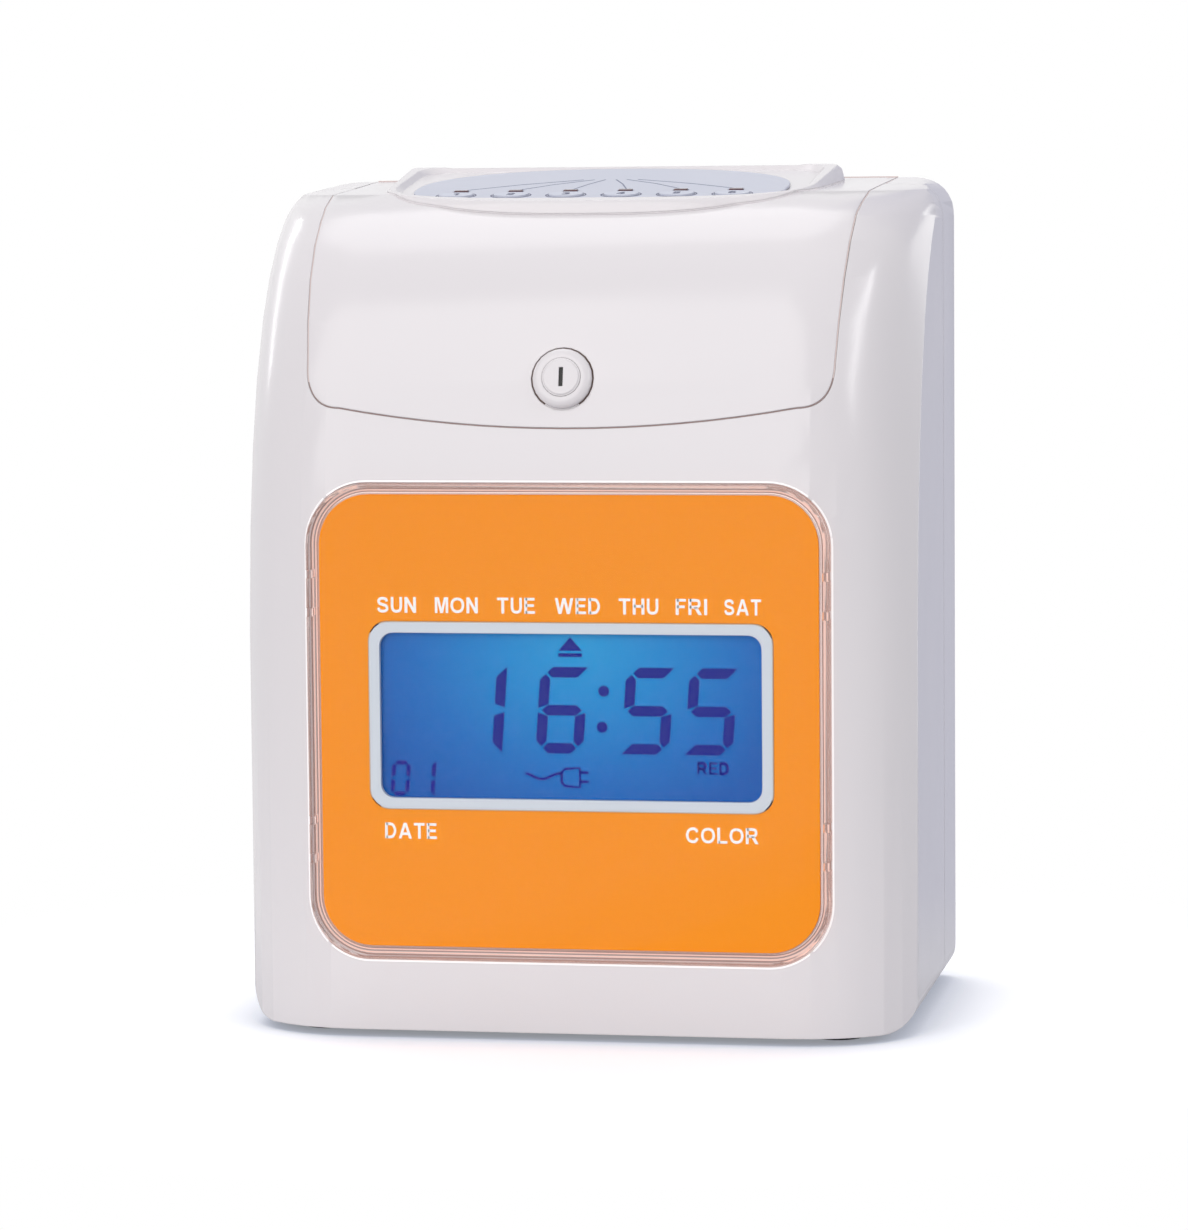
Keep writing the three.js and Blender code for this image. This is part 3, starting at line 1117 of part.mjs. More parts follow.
function buildPrinter() {
  const windowHalf = PRINT_WINDOW_HEIGHT / 2 - FIT;
  const beamFront = SLOT_BACK_Y + CHUTE_PLATE + FIT;
  const beam = block([-INNER_HALF, beamFront, PRINT_Z - windowHalf],
    [INNER_HALF, beamFront + PLATEN_DEPTH, PRINT_Z + windowHalf]);
  const pad = block(
    [FIT - PRINT_WINDOW_HALF, SLOT_BACK_Y, PRINT_Z - windowHalf],
    [PRINT_WINDOW_HALF - FIT, beamFront + FIT, PRINT_Z + windowHalf],
  );
  addPiece(part, 'platen', beam.add(pad), BLACK_PLASTIC);
  const rodHalf = SIDE_PLATE_X + PLATE + FIT;
  const lowerRod = rodAlongX(LOWER_ROD_RADIUS, -rodHalf, rodHalf, ROD_Y, LOWER_ROD_Z);
  addPiece(part, 'guide_rod_lower', lowerRod, STEEL);
  const upperRod = rodAlongX(UPPER_ROD_RADIUS, -rodHalf, rodHalf, ROD_Y, UPPER_ROD_Z);
  addPiece(part, 'guide_rod_upper', upperRod, STEEL);

  const carriageBack = ROD_Y + CARRIAGE_DEPTH / 2;
  const carriageFront = ROD_Y - CARRIAGE_DEPTH / 2;
  const runZ = PULLEY_Z - PULLEY_RADIUS - BELT_THICK / 2;
  const jaw = BELT_THICK / 2 + FIT;
  let carriage = block([-CARRIAGE_HALF, carriageFront, CARRIAGE_LOW_Z],
    [CARRIAGE_HALF, carriageBack, CARRIAGE_HIGH_Z]);
  for (const end of [-1, 1]) {
    const z = runZ + end * 2 * jaw;
    carriage = carriage.add(block(
      [-CARRIAGE_HALF / 2, BELT_Y - BELT_WIDTH / 2 + FIT, z - jaw],
      [CARRIAGE_HALF / 2, carriageFront + FIT, z + jaw],
    ));
  }
  carriage = carriage
    .subtract(rodAlongX(LOWER_ROD_RADIUS + FIT, -WIDTH, WIDTH, ROD_Y, LOWER_ROD_Z))
    .subtract(rodAlongX(UPPER_ROD_RADIUS + FIT, -WIDTH, WIDTH, ROD_Y, UPPER_ROD_Z));
  addPiece(part, 'print_carriage', carriage, BLACK_PLASTIC);

  const noseEnd = SLOT_FRONT_Y - CHUTE_PLATE - RIBBON_GAP - RIBBON_THICK - FIT;
  const head = block(
    [-HEAD_HALF, carriageBack + FIT, PRINT_Z - HEAD_HEIGHT / 2],
    [HEAD_HALF, noseEnd - NOSE_LENGTH, PRINT_Z + HEAD_HEIGHT / 2],
  ).add(block([-NOSE_HALF, carriageBack + FIT, PRINT_Z - NOSE_HALF],
    [NOSE_HALF, noseEnd, PRINT_Z + NOSE_HALF]));
  addPiece(part, 'print_head', head, STEEL);

  const tray = block([-INNER_HALF, CASSETTE_FRONT_Y, TRAY_Z],
    [INNER_HALF, ARM_FRONT_Y - FIT, TRAY_Z + PLATE]);
  addPiece(part, 'ribbon_tray', tray, STEEL);
  const cassetteZ = TRAY_Z + PLATE + FIT;
  const ribbonFront = noseEnd + FIT;
  const armBack = ribbonFront + RIBBON_THICK;
  let cassette = block([-CASSETTE_HALF, CASSETTE_FRONT_Y, cassetteZ],
    [CASSETTE_HALF, armBack, cassetteZ + CASSETTE_HEIGHT]);
  for (const side of [-1, 1]) {
    const outer = side * CASSETTE_HALF;
    const inner = side * (CASSETTE_HALF - CASSETTE_ARM);
    cassette = cassette.add(block(
      [Math.min(outer, inner), ARM_FRONT_Y, PRINT_Z - RIBBON_HEIGHT / 2],
      [Math.max(outer, inner), armBack, cassetteZ + FIT],
    ));
  }
  const knobZ = cassetteZ + CASSETTE_HEIGHT;
  const knobY = (CASSETTE_FRONT_Y + ARM_FRONT_Y) / 2;
  cassette = cassette.subtract(rodAlongZ(KNOB_STEM_RADIUS + FIT, knobZ - CASSETTE_HEIGHT / 2,
    knobZ + OVERRUN, KNOB_X, knobY));
  addPiece(part, 'ribbon_cassette', cassette, BLACK_PLASTIC);
  const ribbonHalf = CASSETTE_HALF - CASSETTE_ARM - FIT;
  const ribbon = block(
    [-ribbonHalf, ribbonFront, PRINT_Z - RIBBON_HEIGHT / 2],
    [ribbonHalf, armBack, PRINT_Z + RIBBON_HEIGHT / 2],
  );
  addPiece(part, 'ink_ribbon', ribbon, INK);
  const lobes = [];
  for (let i = 0; i < 2 * KNOB_LOBES; i += 1) {
    const angle = Math.PI * i / KNOB_LOBES;
    const radius = i % 2 ? KNOB_RADIUS : KNOB_RADIUS - KNOB_STEM_RADIUS / 3;
    lobes.push([KNOB_X + radius * Math.cos(angle), knobY + radius * Math.sin(angle)]);
  }
  const grip = prismAlongZ(outlineOf(lobes), knobZ + FIT, knobZ + FIT + KNOB_HEIGHT);
  const stem = rodAlongZ(KNOB_STEM_RADIUS, knobZ - CASSETTE_HEIGHT / 2 + FIT, knobZ + KNOB_HEIGHT / 2,
    KNOB_X, knobY);
  addPiece(part, 'ribbon_knob', grip.add(stem), GEAR_WHITE);
}

const BELT_Y = CROSS_PLATE_Y + PLATE + 2 * FIT + PULLEY_FLANGE + BELT_WIDTH / 2;

function pulley(x) {
  const seatHalf = BELT_WIDTH / 2 + FIT;
  const seat = rodAlongY(PULLEY_RADIUS - FIT / 2, BELT_Y - seatHalf, BELT_Y + seatHalf, x, PULLEY_Z,
    FINE);
  const flange = rodAlongY(PULLEY_RADIUS + BELT_THICK, BELT_Y - seatHalf - PULLEY_FLANGE + FIT,
    BELT_Y - seatHalf, x, PULLEY_Z, FINE);
  return seat.add(flange).subtract(rodAlongY(MOTOR_SHAFT_RADIUS + FIT, -DEPTH, DEPTH, x, PULLEY_Z));
}

// Belt drive of the carriage: motor, cross plate with the idler's stud, two pulleys and the belt
function buildCarriageDrive() {
  const studEnd = BELT_Y + BELT_WIDTH / 2;
  const plateBack = CROSS_PLATE_Y + PLATE;
  const cross = block([-INNER_HALF, CROSS_PLATE_Y, CROSS_PLATE_LOW_Z],
    [INNER_HALF, plateBack, CROSS_PLATE_HIGH_Z])
    .subtract(rodAlongY(MOTOR_SHAFT_RADIUS + FIT, -DEPTH, DEPTH, -PULLEY_X, PULLEY_Z))
    .add(rodAlongY(MOTOR_SHAFT_RADIUS, CROSS_PLATE_Y + PLATE / 2, studEnd, PULLEY_X, PULLEY_Z));
  addPiece(part, 'cross_plate', cross, STEEL);
  addPiece(part, 'motor_pulley', pulley(-PULLEY_X), GEAR_WHITE);
  addPiece(part, 'idler_pulley', pulley(PULLEY_X), GEAR_WHITE);
  const outer = roundedRectangle(0, PULLEY_Z, 2 * (PULLEY_X + PULLEY_RADIUS + BELT_THICK),
    2 * (PULLEY_RADIUS + BELT_THICK), PULLEY_RADIUS + BELT_THICK - FIT / 10);
  const inner = roundedRectangle(0, PULLEY_Z, 2 * (PULLEY_X + PULLEY_RADIUS + FIT / 2),
    2 * (PULLEY_RADIUS + FIT / 2), PULLEY_RADIUS + FIT / 2 - FIT / 10);
  const belt = prismAlongY(outer, BELT_Y - BELT_WIDTH / 2, BELT_Y + BELT_WIDTH / 2, 8)
    .subtract(prismAlongY(inner, -DEPTH, DEPTH, 8));
  addPiece(part, 'carriage_belt', belt, RUBBER);
  const motorBack = CROSS_PLATE_Y - FIT;
  const can = rodAlongY(MOTOR_RADIUS, motorBack - MOTOR_LENGTH, motorBack, -PULLEY_X + MOTOR_OFFSET,
    PULLEY_Z, FINE);
  const spindle = rodAlongY(MOTOR_SHAFT_RADIUS, motorBack - PLATE, studEnd, -PULLEY_X, PULLEY_Z);
  addPiece(part, 'carriage_motor', can.add(spindle), STEEL);
}

// A spur gear outline about the point (u, v), turned by a share of one tooth.
function gearOutline(u, v, teeth, turnShare) {
  const pitch = GEAR_MODULE * teeth / 2;
  const tip = pitch + TOOTH_TIP;
  const root = pitch - TOOTH_ROOT;
  const toothShares = [
    [root, -TOOTH_ROOT_SHARE],
    [tip, -TOOTH_TIP_SHARE],
    [tip, TOOTH_TIP_SHARE],
    [root, TOOTH_ROOT_SHARE],
  ];
  const points = [];
  for (let i = 0; i < teeth; i += 1) {
    for (const [radius, share] of toothShares) {
      const angle = 2 * Math.PI * (i + share + turnShare) / teeth;
      points.push([u + radius * Math.cos(angle), v + radius * Math.sin(angle)]);
    }
  }
  return outlineOf(points);
}

function buildCardFeed() {
  const gearX = SIDE_PLATE_X + PLATE + 2 * FIT;
  const shaftHigh = gearX + GEAR_THICK + FIT;
  const shaftLow = -SIDE_PLATE_X - PLATE - FIT;
  let roller = rodAlongX(FEED_SHAFT_RADIUS, shaftLow, shaftHigh, FEED_Y, FEED_Z);
  let pinch = rodAlongX(PINCH_SHAFT_RADIUS, -PINCH_HALF, PINCH_HALF, PINCH_Y, FEED_Z);
  for (const x of [-FEED_WHEEL_X, FEED_WHEEL_X]) {
    const low = x - FEED_WHEEL_WIDTH / 2;
    const high = x + FEED_WHEEL_WIDTH / 2;
    roller = roller.add(rodAlongX(FEED_WHEEL_RADIUS, low, high, FEED_Y, FEED_Z, FINE));
    pinch = pinch.add(rodAlongX(PINCH_WHEEL_RADIUS, low, high, PINCH_Y, FEED_Z, FINE));
  }
  addPiece(part, 'feed_roller', roller, RUBBER);
  addPiece(part, 'pinch_roller', pinch, GEAR_WHITE);
  const gear = prismAlongX(gearOutline(FEED_Y, FEED_Z, GEAR_TEETH, 0), gearX, gearX + GEAR_THICK)
    .subtract(rodAlongX(FEED_SHAFT_RADIUS + FIT, 0, WIDTH, FEED_Y, FEED_Z));
  addPiece(part, 'feed_gear', gear, GEAR_WHITE);
  const pinion = prismAlongX(gearOutline(FEED_MOTOR_Y, FEED_Z, PINION_TEETH, 0.5), gearX,
    gearX + GEAR_THICK)
    .subtract(rodAlongX(MOTOR_SHAFT_RADIUS + FIT, 0, WIDTH, FEED_MOTOR_Y, FEED_Z));
  addPiece(part, 'motor_pinion', pinion, GEAR_WHITE);
  const can = rodAlongX(FEED_MOTOR_RADIUS, INNER_HALF - FEED_MOTOR_LENGTH, INNER_HALF, FEED_MOTOR_Y,
    FEED_Z, FINE);
  const spindle = rodAlongX(MOTOR_SHAFT_RADIUS, INNER_HALF - PLATE, shaftHigh, FEED_MOTOR_Y, FEED_Z);
  addPiece(part, 'feed_motor', can.add(spindle), STEEL);
}

function buildElectrics() {
  const boardBack = MAIN_BOARD_Y + BOARD_THICK;
  let board = block([-MAIN_BOARD_HALF, MAIN_BOARD_Y, DECK_Z],
    [MAIN_BOARD_HALF, boardBack, DECK_Z + MAIN_BOARD_HEIGHT]);
  const chips = [[-0.5, 0.75, 2.4], [0, 0.72, 1.6], [0.5, 0.8, 2], [0.55, 0.45, 1.4]];
  for (const [acrossShare, upShare, size] of chips) {
    const x = MAIN_BOARD_HALF * acrossShare;
    const z = DECK_Z + MAIN_BOARD_HEIGHT * upShare;
    board = board.add(block(
      [x - size * SWITCH_SIDE, MAIN_BOARD_Y, z - SWITCH_SIDE],
      [x + size * SWITCH_SIDE, boardBack + SWITCH_HEIGHT, z + SWITCH_SIDE],
    ));
  }
  addPiece(part, 'main_board', board, BOARD_GREEN);

  const coreLow = [TRANSFORMER_X - TRANSFORMER_WIDTH / 2, TRANSFORMER_Y - TRANSFORMER_DEPTH / 2,
    DECK_Z];
  const coreHigh = [TRANSFORMER_X + TRANSFORMER_WIDTH / 2, TRANSFORMER_Y + TRANSFORMER_DEPTH / 2,
    DECK_Z + TRANSFORMER_HEIGHT];
  const coil = prismAlongY(
    roundedRectangle(TRANSFORMER_X, DECK_Z + TRANSFORMER_HEIGHT / 2, COIL_WIDTH, COIL_HEIGHT,
      COIL_HEIGHT / 4),
    TRANSFORMER_Y - COIL_DEPTH / 2, TRANSFORMER_Y + COIL_DEPTH / 2, CORNER_STEPS,
  );
  addPiece(part, 'transformer', block(coreLow, coreHigh).add(coil), STEEL);

  let cells = null;
  for (let i = 0; i < CELL_COUNT; i += 1) {
    const y = BATTERY_Y + (i - (CELL_COUNT - 1) / 2) * CELL_PITCH;
    const cell = rodAlongX(CELL_RADIUS, BATTERY_X - CELL_LENGTH / 2, BATTERY_X + CELL_LENGTH / 2, y,
      DECK_Z + CELL_RADIUS);
    cells = cells ? cells.add(cell) : cell;
  }
  addPiece(part, 'battery_pack', cells, CELL_SLEEVE);

  const face = BACK_Y - FIT;
  const rim = roundedRectangle(INLET_X, INLET_Z, INLET_WIDTH, INLET_HEIGHT, INLET_HEIGHT / 2 - FIT);
  const cavity = roundedRectangle(INLET_X, INLET_Z, INLET_WIDTH - 2 * INLET_WALL,
    INLET_HEIGHT - 2 * INLET_WALL,
    INLET_HEIGHT / 2 - INLET_WALL - FIT);
  let inlet = prismAlongY(rim, face - INLET_DEPTH, face, 6)
    .subtract(prismAlongY(cavity, face - INLET_CAVITY, BACK_Y + OVERRUN, 6));
  for (const side of [-1, 1]) {
    inlet = inlet.add(rodAlongY(PIN_RADIUS, face - INLET_CAVITY - INLET_WALL, face - INLET_WALL,
      INLET_X + side * PIN_SPREAD, INLET_Z, 8));
  }
  addPiece(part, 'mains_inlet', inlet, BLACK_PLASTIC);
}

buildCase();
buildKeyPanel();
buildLock();
buildDisplay();
buildSettingButtons();
buildChassis();
buildChute();
buildPrinter();
buildCarriageDrive();
buildCardFeed();
buildElectrics();

export default part;
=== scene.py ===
"""Looks of a wall or desk time clock that prints on punch cards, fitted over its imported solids."""
import json
import math

import bpy
import numpy as np
from mathutils import Matrix, Quaternion, Vector
from mathutils.bvhtree import BVHTree
from mathutils.geometry import tessellate_polygon


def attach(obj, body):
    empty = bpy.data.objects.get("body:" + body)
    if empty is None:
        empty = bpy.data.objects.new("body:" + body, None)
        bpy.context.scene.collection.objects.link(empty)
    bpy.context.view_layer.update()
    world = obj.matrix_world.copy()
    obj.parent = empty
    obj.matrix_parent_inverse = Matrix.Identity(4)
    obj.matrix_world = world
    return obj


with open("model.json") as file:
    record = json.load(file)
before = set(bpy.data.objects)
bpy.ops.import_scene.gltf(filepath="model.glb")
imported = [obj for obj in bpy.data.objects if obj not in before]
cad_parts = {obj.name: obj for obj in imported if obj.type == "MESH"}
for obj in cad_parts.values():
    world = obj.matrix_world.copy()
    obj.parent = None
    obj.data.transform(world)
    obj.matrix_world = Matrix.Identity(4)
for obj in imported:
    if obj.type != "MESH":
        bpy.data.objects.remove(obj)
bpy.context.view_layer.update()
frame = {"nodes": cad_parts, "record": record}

nodes = frame["nodes"]

# Lengths are in millimetres, and MM turns them to metres
MM = 0.001

# Camera, fitted to the photo: its turn to the right of the front, its rise over the horizon, and its roll
CAMERA_TURN = math.radians(10.41)
CAMERA_RISE = math.radians(5.24)
CAMERA_ROLL = math.radians(-0.52)
CAMERA_DISTANCE = 1289.83
CAMERA_AIM = Vector((-3.08, 0, 106.06))
CAMERA_LENS = 139.8

# What the lamps shine on, in metres
PART_MIDDLE = Vector((0, 0, 0.11))

# Faces of the window that carry printing
PANEL_FRONT_Y = -55.1
GLASS_FRONT_Y = -53.5

# What moves the display's brightest point to its origin, and how far off it is darkest
DISPLAY_GLOW_SHIFT = Vector((-3, -53.5, -104))
DISPLAY_GLOW_REACH = 62

# The window's outline, and as pairs of insets from it the lines on its seat seen through the cover's bent
# rim: painted brown reflection lines, painted pink glow bands and a painted highlight line
WINDOW_HALF = 68.6
WINDOW_LOW_Z = 20.9
WINDOW_HIGH_Z = 145.2
WINDOW_RADIUS = 16
WINDOW_SEAT_Y = -53.6
WINDOW_PAINTED_REFLECTION_LINES = [(0.35, 0.7), (1.35, 1.6), (2.05, 2.3)]
WINDOW_PAINTED_GLOW_BANDS = [(0.8, 1.2), (1.7, 2.05)]
WINDOW_PAINTED_HIGHLIGHT = (2.35, 2.6)

# The lock, with how far from it the walls of its bore, the ring around it and the rim of its plug lie
LOCK_PLACE = Vector((-1, -53.4, 172.2))
LOCK_TILT = math.radians(-14)
LOCK_BORE_REACH = 9.5
LOCK_SURROUND_REACH = 12
PLUG_RIM_REACH = 4
KEYWAY_HALF_WIDTH = 0.52
KEYWAY_HALF_LENGTH = 2.45
KEYWAY_SINK = 0.3

# The tilted collar with its label, keys and lamps, and the thickness of ink
COLLAR_TILT = math.radians(8.4)
COLLAR_Z = 221.55
LABEL_TOP = -0.6
KEY_TOP = -0.2
KEY_PITCH = 14.9
KEY_ROW = -12.3
KEY_WIDTH = 9.2
KEY_LENGTH = 7.0
LAMP_ROW = -5.0
KEY_FRAME_MARGIN = 1.5
INK = 0.05

# Where the lid's seam changes from the painted brown shade of its foot to the paler painted shade of its
# sides, and where only its sides have a lip
LID_FOOT_TOP_Z = 172
LID_SIDE_X = 65
LID_TOP_Z = 185

# The outer walls of the display's bezel lie further than this from its middle
BEZEL_MIDDLE_X = 0.5
BEZEL_MIDDLE_Z = 84.6
BEZEL_REACH_X = 52.5
BEZEL_REACH_Z = 23.8

# The collar's underside is lined only along its rim, clear of the key holes and of the hinge
COLLAR_RIM_X = 50
COLLAR_RIM_Y = -16
COLLAR_RIM_BACK_Y = 37

# Case screws, one in each recess of the back
SCREW_PLACES = [(-80, 14), (80, 14), (-80, 206), (80, 206)]
SCREW_SEAT_Y = 57.6
SCREW_RADIUS = 2.6
SCREW_RISE = 1.2
SCREW_LIFT = 0.05


def linear(hex_code):
    """An sRGB hex colour as the linear colour that a shader takes."""
    shares = [int(hex_code[i : i + 2], 16) / 255 for i in (1, 3, 5)]
    return tuple(c / 12.92 if c <= 0.04045 else ((c + 0.055) / 1.055) ** 2.4 for c in shares) + (1.0,)


def add_node(tree, kind, values=None, links=None, stops=None, **settings):
    """Adds a node with its settings, socket values, colour stops and links."""
    node = tree.nodes.new(kind)
    for key, value in settings.items():
        setattr(node, key, value)
    for key, value in (values or {}).items():
        node.inputs[key].default_value = value
    for key, source in (links or {}).items():
        tree.links.new(source, node.inputs[key])
    if stops:
        ramp = node.color_ramp.elements
        while len(ramp) < len(stops):
            ramp.new(0.5)
        for element, (place, colour) in zip(ramp, stops):
            element.position = place
            element.color = linear(colour)
    return node


def blank_finish(name):
    """A new material with nothing in it but its output."""
    finish = bpy.data.materials.new(name)
    finish.use_nodes = True
    tree = finish.node_tree
    tree.nodes.clear()
    return finish, tree, add_node(tree, "ShaderNodeOutputMaterial")


def close_finish(tree, output, shader):
    tree.links.new(shader.outputs[0], output.inputs["Surface"])


def either_ray(tree, *kinds):
    """1 for light paths of any of the kinds, and 0 for the others."""
    path = add_node(tree, "ShaderNodeLightPath")
    found = path.outputs[kinds[0]]
    for kind in kinds[1:]:
        found = add_node(
            tree, "ShaderNodeMath", None, {0: found, 1: path.outputs[kind]}, operation="MAXIMUM"
        ).outputs[0]
    return found


def object_place(tree):
    """Where a point lies on its own object, in metres."""
    return add_node(tree, "ShaderNodeTexCoord").outputs["Object"]


def clouds_of(tree, place, size, detail):
    """Noise whose clouds are about a size in millimetres."""
    return add_node(
        tree, "ShaderNodeTexNoise", {"Scale": 1 / (size * MM), "Detail": detail}, {"Vector": place}
    ).outputs["Fac"]


def tone_between(tree, colour, shade, share):
    """A colour that wanders between two close ones."""
    return add_node(
        tree, "ShaderNodeMix", {6: linear(colour), 7: linear(shade)}, {0: share}, data_type="RGBA"
    ).outputs[2]


def gloss_around(tree, roughness, swing, source):
    """A roughness that swings up and down with a texture."""
    span = {
        "From Min": 0.3,
        "From Max": 0.7,
        "To Min": roughness * (1 - swing),
        "To Max": roughness * (1 + swing),
    }
    return add_node(tree, "ShaderNodeMapRange", span, {"Value": source}).outputs[0]


def soft_edges(tree, radius):
    """Normals rounded off at every edge by a radius in millimetres."""
    return add_node(tree, "ShaderNodeBevel", {"Radius": radius * MM}, samples=4).outputs["Normal"]


def bumps(tree, relief, height, normal=None):
    """Normals raised by a texture to a relief in millimetres, over other normals where they are given."""
    links = {"Height": height}
    if normal:
        links["Normal"] = normal
    return add_node(
        tree, "ShaderNodeBump", {"Strength": 1.0, "Distance": relief * MM}, links
    ).outputs["Normal"]


def moulded(name, colour, shade, roughness, grain, relief, edge=0.3, wear=None, values=None):
    """Plastic or rubber from a mould: an even colour with faint flow clouds, a fine skin, and soft edges.
    grain is the size of the skin's texture and relief its height; wear is the colour of rubbed edges."""
    finish, tree, output = blank_finish(name)
    place = object_place(tree)
    clouds = clouds_of(tree, place, 70, 4.0)
    skin = clouds_of(tree, place, grain, 3.0)
    surface = tone_between(tree, colour, shade, clouds)
    gloss = gloss_around(tree, roughness, 0.15, clouds)
    edges = soft_edges(tree, edge)
    if wear:
        flat = add_node(tree, "ShaderNodeNewGeometry").outputs["Normal"]
        turn = add_node(tree, "ShaderNodeVectorMath", None, {0: edges, 1: flat}, operation="DOT_PRODUCT")
        rubbed = add_node(
            tree,
            "ShaderNodeMapRange",
            {"From Min": 0.99, "From Max": 0.80, "To Min": 0.0, "To Max": 0.5},
            {"Value": turn.outputs["Value"]},
        )
        surface = add_node(
            tree, "ShaderNodeMix", {7: linear(wear)}, {0: rubbed.outputs[0], 6: surface}, data_type="RGBA"
        ).outputs[2]
    shader = add_node(
        tree,
        "ShaderNodeBsdfPrincipled",
        {"IOR": 1.5, **(values or {})},
        {"Base Color": surface, "Roughness": gloss, "Normal": bumps(tree, relief, skin, edges)},
    )
    close_finish(tree, output, shader)
    return finish


def brushed(name, colour, shade, roughness, line, along):
    """Metal with fine drawn or ground lines. line is their spacing, and along the axis that they run on."""
    finish, tree, output = blank_finish(name)
    place = object_place(tree)
    stretch = Vector((1, 1, 1))
    stretch[along] = 0.03
    drawn_out = add_node(tree, "ShaderNodeMapping", {"Scale": stretch / (line * MM)}, {"Vector": place})
    lines = add_node(
        tree,
        "ShaderNodeTexNoise",
        {"Scale": 1.0, "Detail": 2.0},
        {"Vector": drawn_out.outputs["Vector"]},
    ).outputs["Fac"]
    tone = tone_between(tree, colour, shade, clouds_of(tree, place, 18, 4.0))
    gloss = gloss_around(tree, roughness, 0.25, lines)
    normal = bumps(tree, 0.004, lines, soft_edges(tree, 0.15))
    shader = add_node(
        tree,
        "ShaderNodeBsdfPrincipled",
        {"Metallic": 1.0},
        {"Base Color": tone, "Roughness": gloss, "Normal": normal},
    )
    close_finish(tree, output, shader)
    return finish


def banded(name, colour, line_colour, roughness, pitch, across, relief, metallic=0.0):
    """A surface of regular bands, such as stacked core plates, belt cords or a woven ribbon."""
    finish, tree, output = blank_finish(name)
    bands = add_node(
        tree,
        "ShaderNodeTexWave",
        {"Scale": 1 / (pitch * MM) * 0.314, "Distortion": 0.4, "Detail": 1.0},
        {"Vector": object_place(tree)},
        wave_type="BANDS",
        bands_direction=across,
    ).outputs["Fac"]
    tone = add_node(
        tree, "ShaderNodeValToRGB", None, {"Fac": bands}, stops=[(0.35, line_colour), (0.65, colour)]
    )
    shader = add_node(
        tree,
        "ShaderNodeBsdfPrincipled",
        {"Metallic": metallic, "Roughness": roughness},
        {"Base Color": tone.outputs[0], "Normal": bumps(tree, relief, bands)},
    )
    close_finish(tree, output, shader)
    return finish


def clear_acrylic(name, tint, index, roughness):
    """Polished clear acrylic. The camera's rays meet it, also through other clear plastic. All other light
    passes straight through, so it casts no shadow on what lies behind it."""
    finish, tree, output = blank_finish(name)
    ripple = clouds_of(tree, object_place(tree), 25, 1.0)
    body = add_node(
        tree,
        "ShaderNodeBsdfPrincipled",
        {"Base Color": linear(tint), "Roughness": roughness, "IOR": index, "Transmission Weight": 1.0},
        {"Normal": bumps(tree, 0.01, ripple, soft_edges(tree, 0.3))},
    )
    let_through = add_node(tree, "ShaderNodeBsdfTransparent", {"Color": linear(tint)})
    looked_at = either_ray(tree, "Is Camera Ray", "Is Transmission Ray")
    mix = add_node(
        tree, "ShaderNodeMixShader", None, {0: looked_at, 1: let_through.outputs[0], 2: body.outputs[0]}
    )
    close_finish(tree, output, mix)
    return finish


def display_blue():
    """Back-lit liquid crystal: a blue that is brightest towards the top of the middle, under hard glass."""
    finish, tree, output = blank_finish("backlit_display_glass")
    spread = add_node(
        tree, "ShaderNodeMapping", {"Location": DISPLAY_GLOW_SHIFT * MM}, {"Vector": object_place(tree)}
    )
    reach = add_node(
        tree,
        "ShaderNodeVectorMath",
        {1: Vector((1, 0, 1.25)) / (DISPLAY_GLOW_REACH * MM)},
        {0: spread.outputs["Vector"]},
        operation="MULTIPLY",
    )
    distance = add_node(tree, "ShaderNodeVectorMath", None, {0: reach.outputs["Vector"]}, operation="LENGTH")
    glow = add_node(
        tree,
        "ShaderNodeValToRGB",
        None,
        {"Fac": distance.outputs["Value"]},
        stops=[(0.0, "#149CDC"), (0.35, "#078AD4"), (0.7, "#046FC3"), (1.0, "#045CB4")],
    )
    shader = add_node(
        tree,
        "ShaderNodeBsdfPrincipled",
        {"Roughness": 0.2, "IOR": 1.52, "Specular IOR Level": 0.1},
        {"Base Color": glow.outputs[0]},
    )
    close_finish(tree, output, shader)
    return finish


def board_mask():
    """Solder-masked glass fibre board: dark green with lighter copper tracks under the lacquer."""
    finish, tree, output = blank_finish("solder_masked_board")
    tracks = add_node(
        tree,
        "ShaderNodeTexBrick",
        {
            "Scale": 1 / (12 * MM),
            "Mortar Size": 0.025,
            "Mortar Smooth": 0.1,
            "Brick Width": 0.55,
            "Row Height": 0.16,
            "Color1": linear("#1F5636"),
            "Color2": linear("#235D3B"),
            "Mortar": linear("#4D8A5C"),
        },
        {"Vector": object_place(tree)},
        offset=0.37,
    )
    shader = add_node(
        tree,
        "ShaderNodeBsdfPrincipled",
        {"Roughness": 0.35, "IOR": 1.5},
        {"Base Color": tracks.outputs["Color"], "Normal": bumps(tree, 0.03, tracks.outputs["Fac"])},
    )
    close_finish(tree, output, shader)
    return finish


